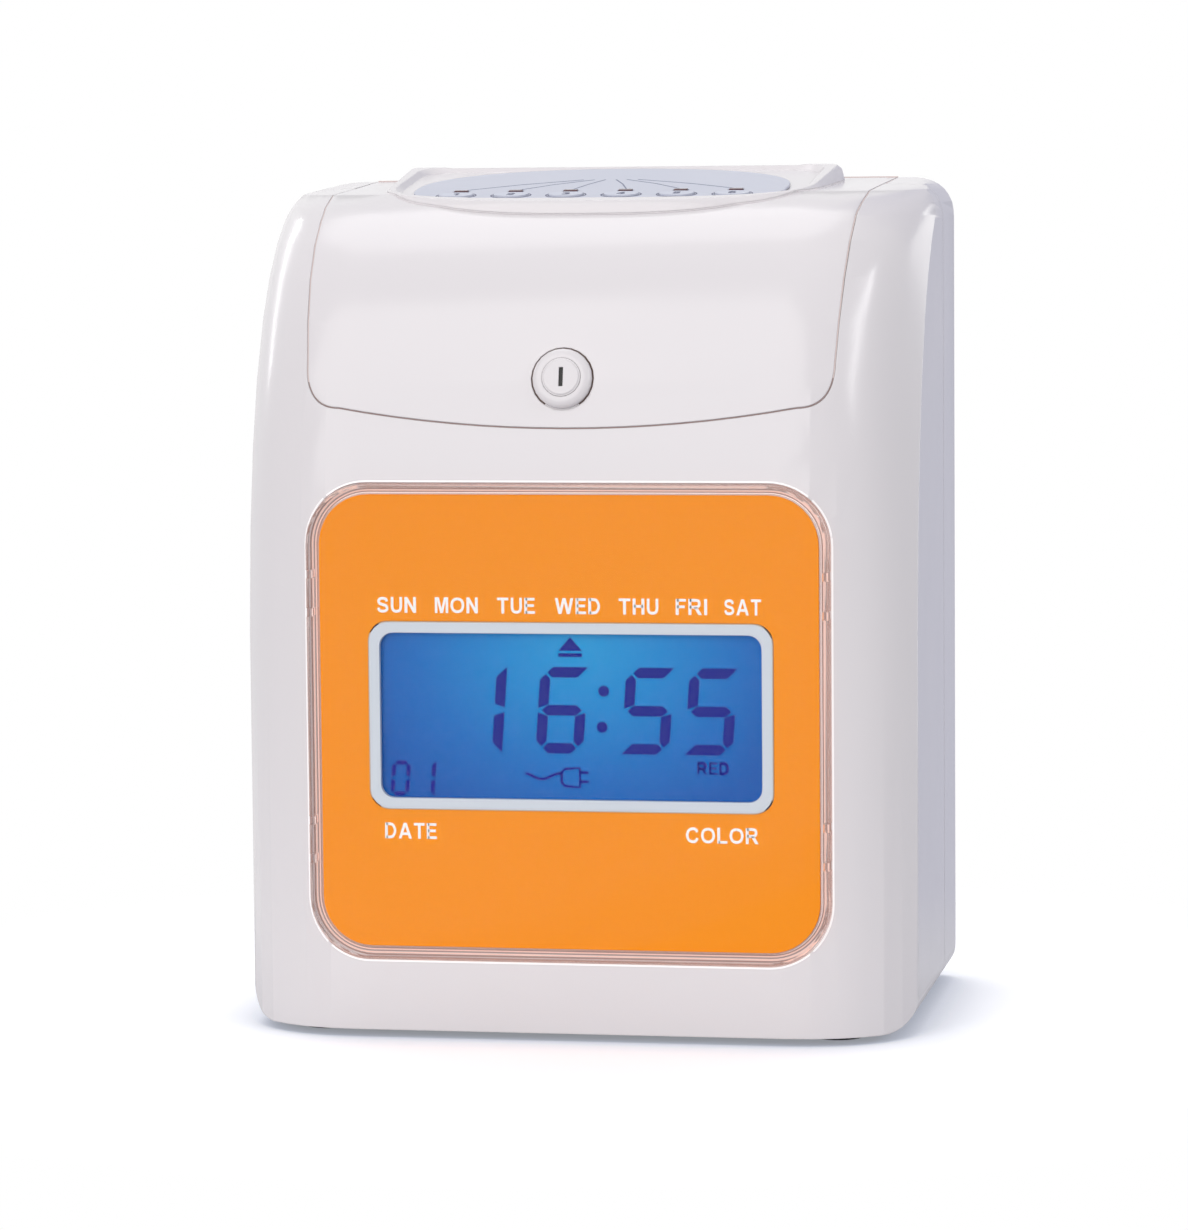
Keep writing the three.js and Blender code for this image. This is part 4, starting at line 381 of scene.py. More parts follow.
# One finish for each of the record's material slots
finishes = {
    "case_plastic": moulded("moulded_white_abs", "#E6E2E3", "#E3DFE1", 0.2, 0.6, 0.004, 0.45, "#F0EEEE"),
    "window_plastic": clear_acrylic("coated_clear_acrylic", "#FEFDFD", 1.12, 0.02),
    "panel_orange": moulded(
        "printed_orange_film",
        "#FF9910",
        "#FE980E",
        0.42,
        0.25,
        0.003,
        0.2,
        values={"Specular IOR Level": 0.15},
    ),
    "bezel_silver": moulded(
        "silver_grey_painted_abs", "#D2DDE5", "#CCD7E0", 0.34, 0.2, 0.004, 0.3, "#DCE2EA"
    ),
    "display_glass": display_blue(),
    "diffuser": moulded("milky_acrylic_light_guide", "#E6EEF6", "#DFE8F2", 0.4, 0.8, 0.003),
    "label_film": moulded("printed_polycarbonate_film", "#C9CCDA", "#C5C9D7", 0.38, 0.3, 0.005),
    "key_plastic": moulded("moulded_key_caps", "#D0D4E1", "#CBCFDD", 0.42, 0.3, 0.008, 0.5, "#DADEE8"),
    "lamp_plastic": moulded("smoked_red_lens", "#5A2A36", "#4C2330", 0.15, 0.6, 0.002),
    "lock_enamel": moulded("white_enamelled_lock_ring", "#E6E2E3", "#E2DEE0", 0.2, 0.6, 0.002, 0.4),
    "plug_enamel": moulded("white_enamelled_lock_plug", "#E4E0E1", "#E0DCDE", 0.22, 0.6, 0.002, 0.3),
    "steel": brushed("zinc_plated_sheet", "#C9CCD0", "#B4B8BD", 0.36, 0.3, 2),
    "rod_steel": brushed("ground_bright_rod", "#D9DBDE", "#CDD0D4", 0.18, 0.12, 0),
    "motor_steel": brushed("plated_motor_can", "#A9ADB2", "#94999F", 0.32, 0.25, 1),
    "core_steel": banded("stacked_core_plates", "#7B7570", "#4E4A47", 0.5, 0.7, "Z", 0.05, 0.6),
    "circuit_board": board_mask(),
    "black_plastic": moulded("moulded_black_abs", "#242427", "#1C1C1F", 0.42, 0.35, 0.02, 0.3, "#3A3A3E"),
    "gear_plastic": moulded("natural_acetal", "#ECE8DC", "#E6E1D3", 0.36, 0.5, 0.006, 0.2),
    "rubber": moulded("moulded_grey_rubber", "#2E2E30", "#262628", 0.75, 0.5, 0.04, 0.3, "#444447"),
    "roller_rubber": moulded("ground_roller_rubber", "#2B2826", "#242120", 0.65, 0.4, 0.03, 0.2),
    "belt_rubber": banded("corded_belt_rubber", "#242424", "#151515", 0.7, 1.2, "X", 0.1),
    "ribbon_fabric": banded("inked_woven_nylon", "#2B1A33", "#1A0F20", 0.8, 0.5, "X", 0.06),
    "cell_sleeve": moulded("shrunk_pvc_sleeve", "#3F8FB0", "#3A86A6", 0.25, 2.0, 0.03, 0.4),
}
for part in frame["record"]["subparts"]:
    mesh = nodes[part["node"]].data
    mesh.materials.clear()
    mesh.materials.append(finishes[part["material_slot"]])
    mesh.polygons.foreach_set("material_index", [0] * len(mesh.polygons))

# Bent faces of the window's cover gather light, so they have an acrylic of their own
window = nodes["window_cover"].data
window.materials.append(clear_acrylic("bent_acrylic_rim", "#FFF4EF", 1.49, 0.04))
bent = [1 if abs(face.normal.y) < 0.95 else 0 for face in window.polygons]
window.polygons.foreach_set("material_index", bent)


def ink(name, colour, shade, roughness=0.5, grain=0.2, relief=0.002, values=None):
    """A thin printed layer with hardly any edge."""
    return moulded(name, colour, shade, roughness, grain, relief, 0.02, None, values)


def lip(name, colour, shade, roughness=0.6, glow=None):
    """The finish of a narrow lip or line. A glow makes up for light that it would gather, as a (colour,
    strength) pair."""
    values = {"Emission Color": linear(glow[0]), "Emission Strength": glow[1]} if glow else None
    return moulded(name, colour, shade, roughness, 0.3, 0.002, 0.05, None, values)


# Finishes of the printing
white_ink = ink("screen_printed_white_ink", "#FFFFFF", "#FCFCFC")
segment_ink = ink(
    "dark_liquid_crystal", "#08208F", "#061D88", 0.3, 0.4, 0.001, {"Specular IOR Level": 0.1}
)
label_ink = ink("dark_blue_grey_ink", "#4B5070", "#454A69")
line_ink = ink("blue_grey_ink", "#737B94", "#6E768F")
# Painted shade of the keyway, near black
painted_keyway_shade = ink("painted_keyway_shadow", "#0C0B0B", "#080707", 0.6, 0.3)

# Finishes of the seams with their painted shade, of the window's seat with its painted reflections, glow and
# highlights, and of the screws
# Painted shade of the lid's seam: brown at its foot, paler on its sides
painted_seam_shade_brown = lip("painted_brown_seam_shade", "#A08A87", "#9A8480")
painted_seam_shade_pale = lip("painted_pale_seam_shade", "#D9C8C4", "#D3C1BD")
# Painted shade of the groove round the lock, dark brown
painted_groove_shade = lip("painted_lock_groove_shade", "#5E4740", "#57413A")
# Painted highlight: white with a painted glow, for lines where the window's edges catch the light
painted_window_highlight = lip("painted_window_highlight_glow", "#FBFAFA", "#F8F7F7", 0.3, ("#FFFAF8", 0.15))
# Painted reflections in the window's bent rim: brown lines, and pink bands with a painted glow
painted_rim_reflection_lines = lip("painted_brown_rim_reflection", "#B79E97", "#AF968F", 0.5)
painted_rim_glow = lip("painted_pink_rim_glow", "#F6DDD3", "#F2D6CB", 0.4, ("#FFE6DC", 0.12))
# Painted shade of the gap round the display's bezel, a pale tan grey
painted_bezel_gap_shade = lip("painted_pale_grey_bezel_shade", "#C9B9A6", "#C2B29F", 0.5)
lip_white = lip("white_seam_lip", "#EAE6E7", "#E7E3E5", 0.35)
screw_zinc = brushed("zinc_plated_screw", "#C4C6CB", "#ABAEB4", 0.3, 0.2, 1)


def shade_softly(thing, angle=32):
    """Lets faces that meet at less than an angle shade as one curved surface. No corner moves.
    The flat sides of the case stay apart from its shoulders, which leaves the crisp line between them."""
    mesh = thing.data
    corners = len(mesh.loops)
    points = np.empty(len(mesh.vertices) * 3, np.float32)
    mesh.vertices.foreach_get("co", points)
    points = points.reshape(-1, 3)
    grid = np.round(points / (0.002 * MM)).astype(np.int64)
    keys = np.unique(grid, axis=0, return_inverse=True)[1].reshape(-1)
    loop_points = np.empty(corners, np.int32)
    mesh.loops.foreach_get("vertex_index", loop_points)
    count = len(mesh.polygons)
    normals = np.empty(count * 3, np.float32)
    mesh.polygons.foreach_get("normal", normals)
    normals = normals.reshape(-1, 3)
    areas = np.empty(count, np.float32)
    mesh.polygons.foreach_get("area", areas)
    sizes = np.empty(count, np.int32)
    mesh.polygons.foreach_get("loop_total", sizes)
    faces = np.repeat(np.arange(count), sizes)
    around = {}
    for key, face in zip(keys[loop_points], faces):
        around.setdefault(int(key), []).append(int(face))
    limit = math.cos(math.radians(angle))
    flank = np.abs(normals[:, 0]) > 0.999
    shoulder = (normals[:, 1] < -0.15) & ~flank
    result = np.empty((corners, 3), np.float32)
    for corner in range(corners):
        own = normals[faces[corner]]
        near = np.array(around[int(keys[loop_points[corner]])])
        apart = (flank[near] & shoulder[faces[corner]]) | (shoulder[near] & flank[faces[corner]])
        close = near[(normals[near] @ own >= limit) & ~apart]
        total = (normals[close] * areas[close, None]).sum(0)
        result[corner] = total / max(float(np.linalg.norm(total)), 1e-12)
    mesh.polygons.foreach_set("use_smooth", [True] * count)
    mesh.normals_split_custom_set(result.tolist())


for thing in nodes.values():
    shade_softly(thing)


def new_piece(name, points, faces, place, finish, body, soft=False):
    """A piece from points in millimetres, laid on its place, with its finish, riding on a body."""
    mesh = bpy.data.meshes.new(name)
    mesh.from_pydata([tuple((place @ Vector(p)) * MM) for p in points], [], faces)
    mesh.validate()
    mesh.materials.append(finish)
    piece = bpy.data.objects.new(name, mesh)
    bpy.context.scene.collection.objects.link(piece)
    bpy.context.view_layer.update()
    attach(piece, body)
    if soft:
        shade_softly(piece)
    return piece


def on_front(y):
    """Lays marks on an upright face: across, up, and out to the front."""
    return Matrix(((1, 0, 0, 0), (0, 0, -1, y), (0, 1, 0, 0), (0, 0, 0, 1)))


def on_back(y):
    """Lays marks on the back face: across as seen from behind, up, and out to the back."""
    return Matrix(((-1, 0, 0, 0), (0, 0, 1, y), (0, 1, 0, 0), (0, 0, 0, 1)))


def on_collar(height):
    """Lays marks on the tilted label of the lid, at a height over the collar's own level."""
    tilt = Matrix.Translation((0, 0, COLLAR_Z)) @ Matrix.Rotation(COLLAR_TILT, 4, "X")
    return tilt @ Matrix.Translation((0, 0, height))


def layer(outlines, thick):
    """Points and faces of thin flat shapes with closed sides."""
    points, faces = [], []
    for outline in outlines:
        area = sum(a[0] * b[1] - b[0] * a[1] for a, b in zip(outline, outline[1:] + outline[:1]))
        ring = list(outline) if area > 0 else list(reversed(outline))
        start, count = len(points), len(ring)
        points += [(u, v, 0) for u, v in ring] + [(u, v, thick) for u, v in ring]
        flat = [Vector((u, v, 0)) for u, v in ring]
        for a, b, c in tessellate_polygon([flat]):
            if (flat[b] - flat[a]).cross(flat[c] - flat[a]).z < 0:
                b, c = c, b
            faces.append((start + count + a, start + count + b, start + count + c))
            faces.append((start + a, start + c, start + b))
        for i in range(count):
            j = (i + 1) % count
            faces.append((start + i, start + j, start + count + j, start + count + i))
    return points, faces


def stroke(points, width, closed=False):
    """A drawn line as a chain of flat four-sided shapes."""
    line = [Vector(p) for p in points]
    count = len(line)
    sides = []
    for i, p in enumerate(line):
        before = line[i - 1] if (i or closed) else p
        after = line[(i + 1) % count] if (i < count - 1 or closed) else p
        run = (after - before).normalized()
        away = Vector((-run.y, run.x)) * width / 2
        sides.append((tuple(p + away), tuple(p - away)))
    pairs = list(zip(sides, sides[1:] + (sides[:1] if closed else [])))
    return [[a[0], a[1], b[1], b[0]] for a, b in pairs]


def oval_line(u, v, width, height, steps=40):
    """Points round a slot-shaped outline with full round ends."""
    radius = height / 2
    reach = width / 2 - radius
    points = []
    for i in range(steps):
        turn = -math.pi / 2 + math.pi * (i % (steps // 2)) / (steps // 2 - 1)
        side = 1 if i < steps // 2 else -1
        points.append((u + side * (reach + radius * math.cos(turn)), v + side * radius * math.sin(turn)))
    return points


# Plain capitals and figures, in shares of the capital height. Each is its width, its straight-edged shapes,
# and the middle lines of its curved strokes
STEM = [(0, 0), (0, 1), (0.2, 1), (0.2, 0)]
SIGNS = {
    "A": (
        1.0,
        [
            [(0, 0), (0.39, 1), (0.5, 1), (0.5, 0.77), (0.36, 0.39), (0.5, 0.39), (0.5, 0.22),
             (0.3, 0.22), (0.22, 0)],
            [(1, 0), (0.61, 1), (0.5, 1), (0.5, 0.77), (0.64, 0.39), (0.5, 0.39), (0.5, 0.22),
             (0.7, 0.22), (0.78, 0)],
        ],
        [],
    ),
    "C": (
        0.9,
        [],
        [
            [(0.8, 0.7), (0.68, 0.86), (0.47, 0.91), (0.2, 0.8), (0.09, 0.5), (0.2, 0.2), (0.47, 0.09),
             (0.68, 0.14), (0.81, 0.32)],
        ],
    ),
    "D": (
        0.85,
        [STEM],
        [[(0.1, 0.915), (0.36, 0.915), (0.6, 0.84), (0.75, 0.5), (0.6, 0.16), (0.36, 0.085), (0.1, 0.085)]],
    ),
    "E": (
        0.75,
        [
            STEM,
            [(0.1, 1), (0.73, 1), (0.73, 0.83), (0.1, 0.83)],
            [(0.1, 0.6), (0.68, 0.6), (0.68, 0.43), (0.1, 0.43)],
            [(0.1, 0.17), (0.75, 0.17), (0.75, 0), (0.1, 0)],
        ],
        [],
    ),
    "F": (
        0.68,
        [
            STEM,
            [(0.1, 1), (0.68, 1), (0.68, 0.83), (0.1, 0.83)],
            [(0.1, 0.59), (0.6, 0.59), (0.6, 0.42), (0.1, 0.42)],
        ],
        [],
    ),
    "H": (
        0.8,
        [
            STEM,
            [(0.6, 0), (0.6, 1), (0.8, 1), (0.8, 0)],
            [(0.1, 0.6), (0.7, 0.6), (0.7, 0.43), (0.1, 0.43)],
        ],
        [],
    ),
    "I": (0.2, [STEM], []),
    "L": (0.7, [STEM, [(0.1, 0.17), (0.7, 0.17), (0.7, 0), (0.1, 0)]], []),
    "M": (
        0.95,
        [
            [(0, 0), (0, 1), (0.29, 1), (0.475, 0.3), (0.66, 1), (0.95, 1), (0.95, 0), (0.77, 0),
             (0.77, 0.78), (0.57, 0), (0.38, 0), (0.18, 0.78), (0.18, 0)],
        ],
        [],
    ),
    "N": (
        0.8,
        [
            [(0, 0), (0, 1), (0.2, 1), (0.6, 0.35), (0.6, 1), (0.8, 1), (0.8, 0), (0.6, 0), (0.2, 0.65),
             (0.2, 0)],
        ],
        [],
    ),
    "O": (
        0.98,
        [],
        [
            [(0.49, 0.91), (0.2, 0.8), (0.09, 0.5), (0.2, 0.2), (0.49, 0.09), (0.78, 0.2), (0.89, 0.5),
             (0.78, 0.8), (0.49, 0.91)],
        ],
    ),
    "R": (
        0.88,
        [STEM, [(0.36, 0.48), (0.6, 0.48), (0.9, 0), (0.66, 0)]],
        [
            [(0.1, 0.915), (0.45, 0.915), (0.66, 0.87), (0.72, 0.71), (0.66, 0.54), (0.45, 0.49),
             (0.1, 0.49)],
        ],
    ),
    "S": (
        0.8,
        [],
        [
            [(0.69, 0.7), (0.62, 0.85), (0.4, 0.91), (0.18, 0.85), (0.12, 0.71), (0.2, 0.58), (0.4, 0.51),
             (0.62, 0.44), (0.71, 0.27), (0.62, 0.14), (0.4, 0.09), (0.18, 0.14), (0.09, 0.31)],
        ],
    ),
    "T": (
        0.8,
        [[(0, 1), (0.8, 1), (0.8, 0.83), (0.5, 0.83), (0.5, 0), (0.3, 0), (0.3, 0.83), (0, 0.83)]],
        [],
    ),
    "U": (
        0.8,
        [],
        [
            [(0.1, 1), (0.1, 0.7), (0.1, 0.38), (0.18, 0.16), (0.4, 0.09), (0.62, 0.16), (0.7, 0.38),
             (0.7, 0.7), (0.7, 1)],
        ],
    ),
    "W": (
        1.32,
        [
            [(0, 1), (0.21, 1), (0.36, 0.33), (0.55, 1), (0.77, 1), (0.96, 0.33), (1.11, 1), (1.32, 1),
             (1.07, 0), (0.85, 0), (0.66, 0.7), (0.47, 0), (0.25, 0)],
        ],
        [],
    ),
    "1": (
        0.45,
        [[(0.25, 0), (0.25, 0.72), (0.02, 0.6), (0.02, 0.76), (0.28, 1), (0.44, 1), (0.44, 0)]],
        [],
    ),
    "2": (
        0.66,
        [[(0.04, 0), (0.04, 0.17), (0.64, 0.17), (0.64, 0)]],
        [[(0.1, 0.7), (0.16, 0.86), (0.34, 0.91), (0.52, 0.85), (0.56, 0.68), (0.4, 0.4), (0.1, 0.09)]],
    ),
    "3": (
        0.66,
        [],
        [
            [(0.1, 0.75), (0.18, 0.88), (0.34, 0.91), (0.52, 0.84), (0.54, 0.66), (0.42, 0.54),
             (0.26, 0.52)],
            [(0.26, 0.52), (0.46, 0.5), (0.57, 0.36), (0.55, 0.18), (0.36, 0.09), (0.18, 0.12),
             (0.1, 0.26)],
        ],
    ),
    "4": (
        0.7,
        [
            [(0.42, 0), (0.42, 0.2), (0.02, 0.2), (0.02, 0.36), (0.42, 1), (0.6, 1), (0.6, 0.36),
             (0.7, 0.36), (0.7, 0.2), (0.6, 0.2), (0.6, 0)],
        ],
        [],
    ),
    "5": (
        0.66,
        [[(0.12, 1), (0.6, 1), (0.6, 0.84), (0.12, 0.84)]],
        [
            [(0.19, 0.92), (0.15, 0.54), (0.34, 0.6), (0.52, 0.5), (0.56, 0.32), (0.46, 0.13),
             (0.3, 0.09), (0.1, 0.2)],
        ],
    ),
    "6": (
        0.66,
        [],
        [
            [(0.55, 0.8), (0.42, 0.91), (0.22, 0.84), (0.1, 0.5), (0.14, 0.2), (0.33, 0.09), (0.52, 0.16),
             (0.57, 0.34), (0.47, 0.5), (0.3, 0.54), (0.13, 0.4)],
        ],
    ),
}


def smooth_line(points, parts=5):
    """A rounded line through all the points."""
    line = []
    for i in range(len(points) - 1):
        a, b, c, d = (Vector(points[min(max(k, 0), len(points) - 1)]) for k in (i - 1, i, i + 1, i + 2))
        for part in range(parts):
            t = part / parts
            turn = a * 2 - b * 5 + c * 4 - d
            bend = b * 3 - a - c * 3 + d
            line.append(tuple((b * 2 + (c - a) * t + turn * t**2 + bend * t**3) / 2))
    return line + [tuple(points[-1])]


def lettering(name, words, place, finish, body, weight=0.18):
    """Printed words. Each is (text, middle across, middle up, capital height, width), where a width of None
    leaves the letters unstretched. The weight of curved strokes and the space between letters are shares of
    the capital height."""
    spacing = 0.16
    shapes = []
    for text, across, up, height, width in words:
        run, word = 0.0, []
        for sign in text:
            wide, solid, curved = SIGNS[sign]
            drawn = list(solid)
            for line in curved:
                drawn += stroke(smooth_line(line), weight)
            word += [[(run + u, v) for u, v in shape] for shape in drawn]
            run += wide + spacing
        run -= spacing
        stretch = width / (run * height) if width else 1.0
        for shape in word:
            shapes.append(
                [(across + (u - run / 2) * height * stretch, up + (v - 0.5) * height) for u, v in shape]
            )
    return new_piece(name, *layer(shapes, INK), place, finish, body)


# Legends round the display
LEGEND_Z = 113.5
LEGEND_LOW_Z = 54.3
LEGEND_CAPS = 4.15
legends = [
    ("SUN", -45.1, LEGEND_Z, LEGEND_CAPS, 10.4),
    ("MON", -29.2, LEGEND_Z, LEGEND_CAPS, 11.4),
    ("TUE", -13.4, LEGEND_Z, LEGEND_CAPS, 10.0),
    ("WED", 2.8, LEGEND_Z, LEGEND_CAPS, 11.9),
    ("THU", 18.8, LEGEND_Z, LEGEND_CAPS, 10.4),
    ("FRI", 32.6, LEGEND_Z, LEGEND_CAPS, 8.2),
    ("SAT", 45.9, LEGEND_Z, LEGEND_CAPS, 9.6),
    ("DATE", -42.0, LEGEND_LOW_Z, LEGEND_CAPS, 13.8),
    ("COLOR", 40.2, LEGEND_LOW_Z, LEGEND_CAPS, 18.9),
]
lettering("display_legends", legends, on_front(PANEL_FRONT_Y), white_ink, "housing")

# Segments of the display
SLANT = 0.072
SEGMENTS = {"0": "abcdef", "1": "bc", "5": "acdfg", "6": "acdefg"}
# Each size of figure is its foot, width, height, bar width and gap
TIME_FIGURES = (74.9, 12.6, 22.6, 2.75, 0.2)
DATE_FIGURES = (63.3, 5.1, 9.3, 1.2, 0.1)
COLON_RADIUS = 1.45
PLUG_STROKE = 0.75


def digit(sign, left, low, width, height, bar, gap):
    """The lit bars of one slanted display figure. A corner where two lit bars meet is cut off and parted by a
    gap, and a lone bar ends in a point."""
    lit = SEGMENTS[sign]
    mid, half, cut = height / 2, bar / 2, bar * 1.2

    def lying(high, sides):
        """A top or bottom bar, seen from its outer edge towards the middle."""
        ends = []
        for side, neighbour in sides:
            if neighbour in lit:
                end = [(cut, 0), (cut / 2 + gap, cut / 2 - gap), (bar + 2 * gap, bar)]
            else:
                end = [(0, 0), (bar, bar)]
            ends.append([(u if side < 0 else width - u, height - v if high else v) for u, v in end])
        return ends[0] + ends[1][::-1]

    def standing(right, high, neighbour):
        """One of the four upright bars, from its outer end to the middle."""
        if neighbour in lit:
            end = [(0, cut), (cut / 2 - gap, cut / 2 + gap), (bar, bar + 2 * gap)]
        else:
            end = [(0, 0), (bar, bar)]
        line = end + [(bar, mid - half - gap), (0, mid - gap - half / 4)]
        return [(width - u if right else u, height - v if high else v) for u, v in line]

    middle = [(half * 0.7, mid), (bar * 0.9, mid + half), (width - bar * 0.9, mid + half)]
    middle += [(width - u, height - v) for u, v in middle]
    shapes = {
        "a": lying(True, [(-1, "f"), (1, "b")]),
        "d": lying(False, [(-1, "e"), (1, "c")]),
        "g": middle,
        "f": standing(False, True, "a"),
        "e": standing(False, False, "d"),
        "b": standing(True, True, "a"),
        "c": standing(True, False, "d"),
    }
    return [[(left + u + v * SLANT, low + v) for u, v in shapes[s]] for s in lit]


def disc_line(u, v, radius, steps=28):
    """Points round a disc."""
    turns = [2 * math.pi * i / steps for i in range(steps)]
    return [(u + radius * math.cos(turn), v + radius * math.sin(turn)) for turn in turns]


marks = []
for sign, left in [("1", -30.4), ("6", -9.0), ("5", 13.6), ("5", 30.2)]:
    marks += digit(sign, left, *TIME_FIGURES)
for sign, left in [("0", -47.8), ("1", -41.0)]:
    marks += digit(sign, left, *DATE_FIGURES)
marks += [disc_line(9.2, 91.3, COLON_RADIUS), disc_line(8.7, 81.9, COLON_RADIUS)]
# The arrow that points at the day, over its bar
marks += [
    [(-2.7, 101.7), (3.6, 101.7), (0.45, 105.3)],
    [(-2.7, 100.1), (3.6, 100.1), (3.6, 101.1), (-2.7, 101.1)],
]
# The plug sign: its body, its two pins and its wavy lead
plug_body = [(-2.1, 67.4), (-2.1, 70.0), (-1.2, 70.9), (2.7, 71.2), (2.8, 66.1), (-1.2, 66.4)]
marks += stroke(plug_body, PLUG_STROKE, True)
for pin_height in (70.0, 67.6):
    marks += stroke([(2.8, pin_height), (5.1, pin_height)], PLUG_STROKE)
lead_steps = 24
lead = [
    (-11.7 + 9.6 * i / lead_steps, 68.9 + 0.75 * math.cos(2 * math.pi * (i / lead_steps) * 1.02 + 0.25))
    for i in range(lead_steps + 1)
]
marks += stroke(lead, PLUG_STROKE)
on_glass = on_front(GLASS_FRONT_Y)
new_piece("display_segments", *layer(marks, INK), on_glass, segment_ink, "housing")
lettering("display_colour_word", [("RED", 37.7, 71.5, 3.2, 8.3)], on_glass, segment_ink, "housing", 0.27)

# Print on the lid's label: key frames, lines from the lamps, and figures on the keys
key_places = [(i - 2.5) * KEY_PITCH for i in range(6)]
frames, fan = [], []
for x in key_places:
    key_frame = oval_line(x, KEY_ROW, KEY_WIDTH + KEY_FRAME_MARGIN, KEY_LENGTH + KEY_FRAME_MARGIN)
    frames += stroke(key_frame, 0.35, True)
    start, knee, end = (x, LAMP_ROW + 1.6), (x * 0.62, 6.5), (x * 0.2, 14.5)
    fan += stroke([start, knee, end], 0.4)
new_piece("key_frames", *layer(frames, INK), on_collar(LABEL_TOP), label_ink, "lid")
new_piece("lamp_lines", *layer(fan, INK), on_collar(LABEL_TOP), line_ink, "lid")
for number, x in enumerate(key_places, 1):
    lettering(
        f"key_figure_{number}",
        [(str(number), x, KEY_ROW, 3.2, None)],
        on_collar(KEY_TOP),
        label_ink,
        f"select_key_{number}",
    )


def seam_filler(name, node, is_wall, near, far, sink, finish, body):
    """A soft lip in the gap beside a node: it follows the edges between the node's outer faces and the walls
    that are chosen by direction and place, from near to far off the wall and sunk under the outer face."""
    mesh = nodes[node].data
    turn = nodes[node].matrix_world.to_3x3()
    spots = [tuple(round(value / MM, 3) for value in point.co) for point in mesh.vertices]
    by_edge = {}
    for face in mesh.polygons:
        for first, last in face.edge_keys:
            by_edge.setdefault(tuple(sorted((spots[first], spots[last]))), []).append(face)
    points, faces = [], []
    for (first, last), sharing in by_edge.items():
        if len(sharing) != 2:
            continue
        for wall, outer in (sharing, sharing[::-1]):
            aside, up = turn @ wall.normal, turn @ outer.normal
            ends = [nodes[node].matrix_world @ (Vector(spot) * MM) / MM for spot in (first, last)]
            if not is_wall(aside, ends[0]) or is_wall(up, ends[0]) or (up.y > -0.01 and up.z < 0.5):
                continue
            start = len(points)
            for end in ends:
                points += [end + aside * near - up * sink, end + aside * far - up * sink]
            faces.append((start, start + 1, start + 3, start + 2))
    return new_piece(name, points, faces, Matrix.Identity(4), finish, body)


collar_axis = Matrix.Rotation(COLLAR_TILT, 3, "X") @ Vector((0, 0, 1))
lock_axis = Matrix.Rotation(LOCK_TILT, 3, "X") @ Vector((0, -1, 0))


def upright(way):
    """Whether a wall runs straight to the front, so that it can be a side of a seam."""
    return abs(way.y) < 0.002


def lid_wall(way, place):
    clear_of_lock = (place - LOCK_PLACE).length > LOCK_SURROUND_REACH
    return upright(way) and (abs(place.x) > LID_SIDE_X or place.z < LID_TOP_Z) and clear_of_lock


def lid_foot(way, place):
    return lid_wall(way, place) and place.z < LID_FOOT_TOP_Z


def lid_side(way, place):
    return lid_wall(way, place) and place.z >= LID_FOOT_TOP_Z


def collar_underside(way, place):
    on_rim = abs(place.x) > COLLAR_RIM_X or place.y < COLLAR_RIM_Y
    return way @ collar_axis < -0.5 and place.y < COLLAR_RIM_BACK_Y and on_rim


def bezel_wall(way, place):
    beside = abs(place.x - BEZEL_MIDDLE_X) > BEZEL_REACH_X
    above_or_below = abs(place.z - BEZEL_MIDDLE_Z) > BEZEL_REACH_Z
    return upright(way) and (beside or above_or_below)


def lock_wall(way, place):
    return (place - LOCK_PLACE).length < LOCK_BORE_REACH and abs(way.y) < 0.3


def plug_wall(way, place):
    return abs(way @ lock_axis) < 0.01 and (place - LOCK_PLACE).cross(lock_axis).length > PLUG_RIM_REACH


# Each seam lip: its name, node, choice of walls, reach off the wall (near and far), sink, finish and body.
# The brown, pale and grey lips and the lock's groove are painted seam shade, and the white lips close their
# gaps in the case's own colour
for seam in [
    ("lid_foot_painted_seam_shade", "flip_lid", lid_foot, 0.04, 0.36, 0.1, painted_seam_shade_brown, "lid"),
    ("lid_side_painted_seam_shade", "flip_lid", lid_side, 0.04, 0.36, 0.08, painted_seam_shade_pale, "lid"),
    ("collar_foot_lip", "card_collar", collar_underside, -0.05, 0.34, 0.02, lip_white, "lid"),
    ("bezel_edge_painted_shade", "display_bezel", bezel_wall, -0.02, 0.28, 0.03, painted_bezel_gap_shade, "housing"),
    ("lock_ring_painted_shade", "flip_lid", lock_wall, 0.02, 0.42, 0.3, painted_groove_shade, "lid"),
    ("lock_plug_lip", "lock_cylinder", plug_wall, -0.05, 0.27, 0.06, lip_white, "lock"),
]:
    seam_filler(*seam)

# A dark sheet of painted shade for the dark of the keyway, set a little under the plug's front face
plug = nodes["lock_cylinder"]
plug_front = max((plug.matrix_world @ point.co / MM - LOCK_PLACE) @ lock_axis for point in plug.data.vertices)
keyway_floor = (
    Matrix.Translation(LOCK_PLACE + lock_axis * (plug_front - KEYWAY_SINK))
    @ Matrix.Rotation(LOCK_TILT, 4, "X")
    @ on_front(0)
)
keyway_corners = [
    (-KEYWAY_HALF_WIDTH, -KEYWAY_HALF_LENGTH, 0),
    (KEYWAY_HALF_WIDTH, -KEYWAY_HALF_LENGTH, 0),
    (KEYWAY_HALF_WIDTH, KEYWAY_HALF_LENGTH, 0),
    (-KEYWAY_HALF_WIDTH, KEYWAY_HALF_LENGTH, 0),
]
new_piece("keyway_painted_shade_sheet", keyway_corners, [(0, 1, 2, 3)], keyway_floor, painted_keyway_shade, "lock")


def window_line(inset, steps=14):
    """The window's outline, drawn in by an inset."""
    half, radius = WINDOW_HALF - inset, WINDOW_RADIUS - inset
    low, high = WINDOW_LOW_Z + inset, WINDOW_HIGH_Z - inset
    line = []
    for turn, u, v in [
        (0, half - radius, high - radius),
        (1, radius - half, high - radius),
        (2, radius - half, low + radius),
        (3, half - radius, low + radius),
    ]:
        for i in range(steps + 1):
            angle = (turn + i / steps) * math.pi / 2
            line.append((u + radius * math.cos(angle), v + radius * math.sin(angle)))
    return line


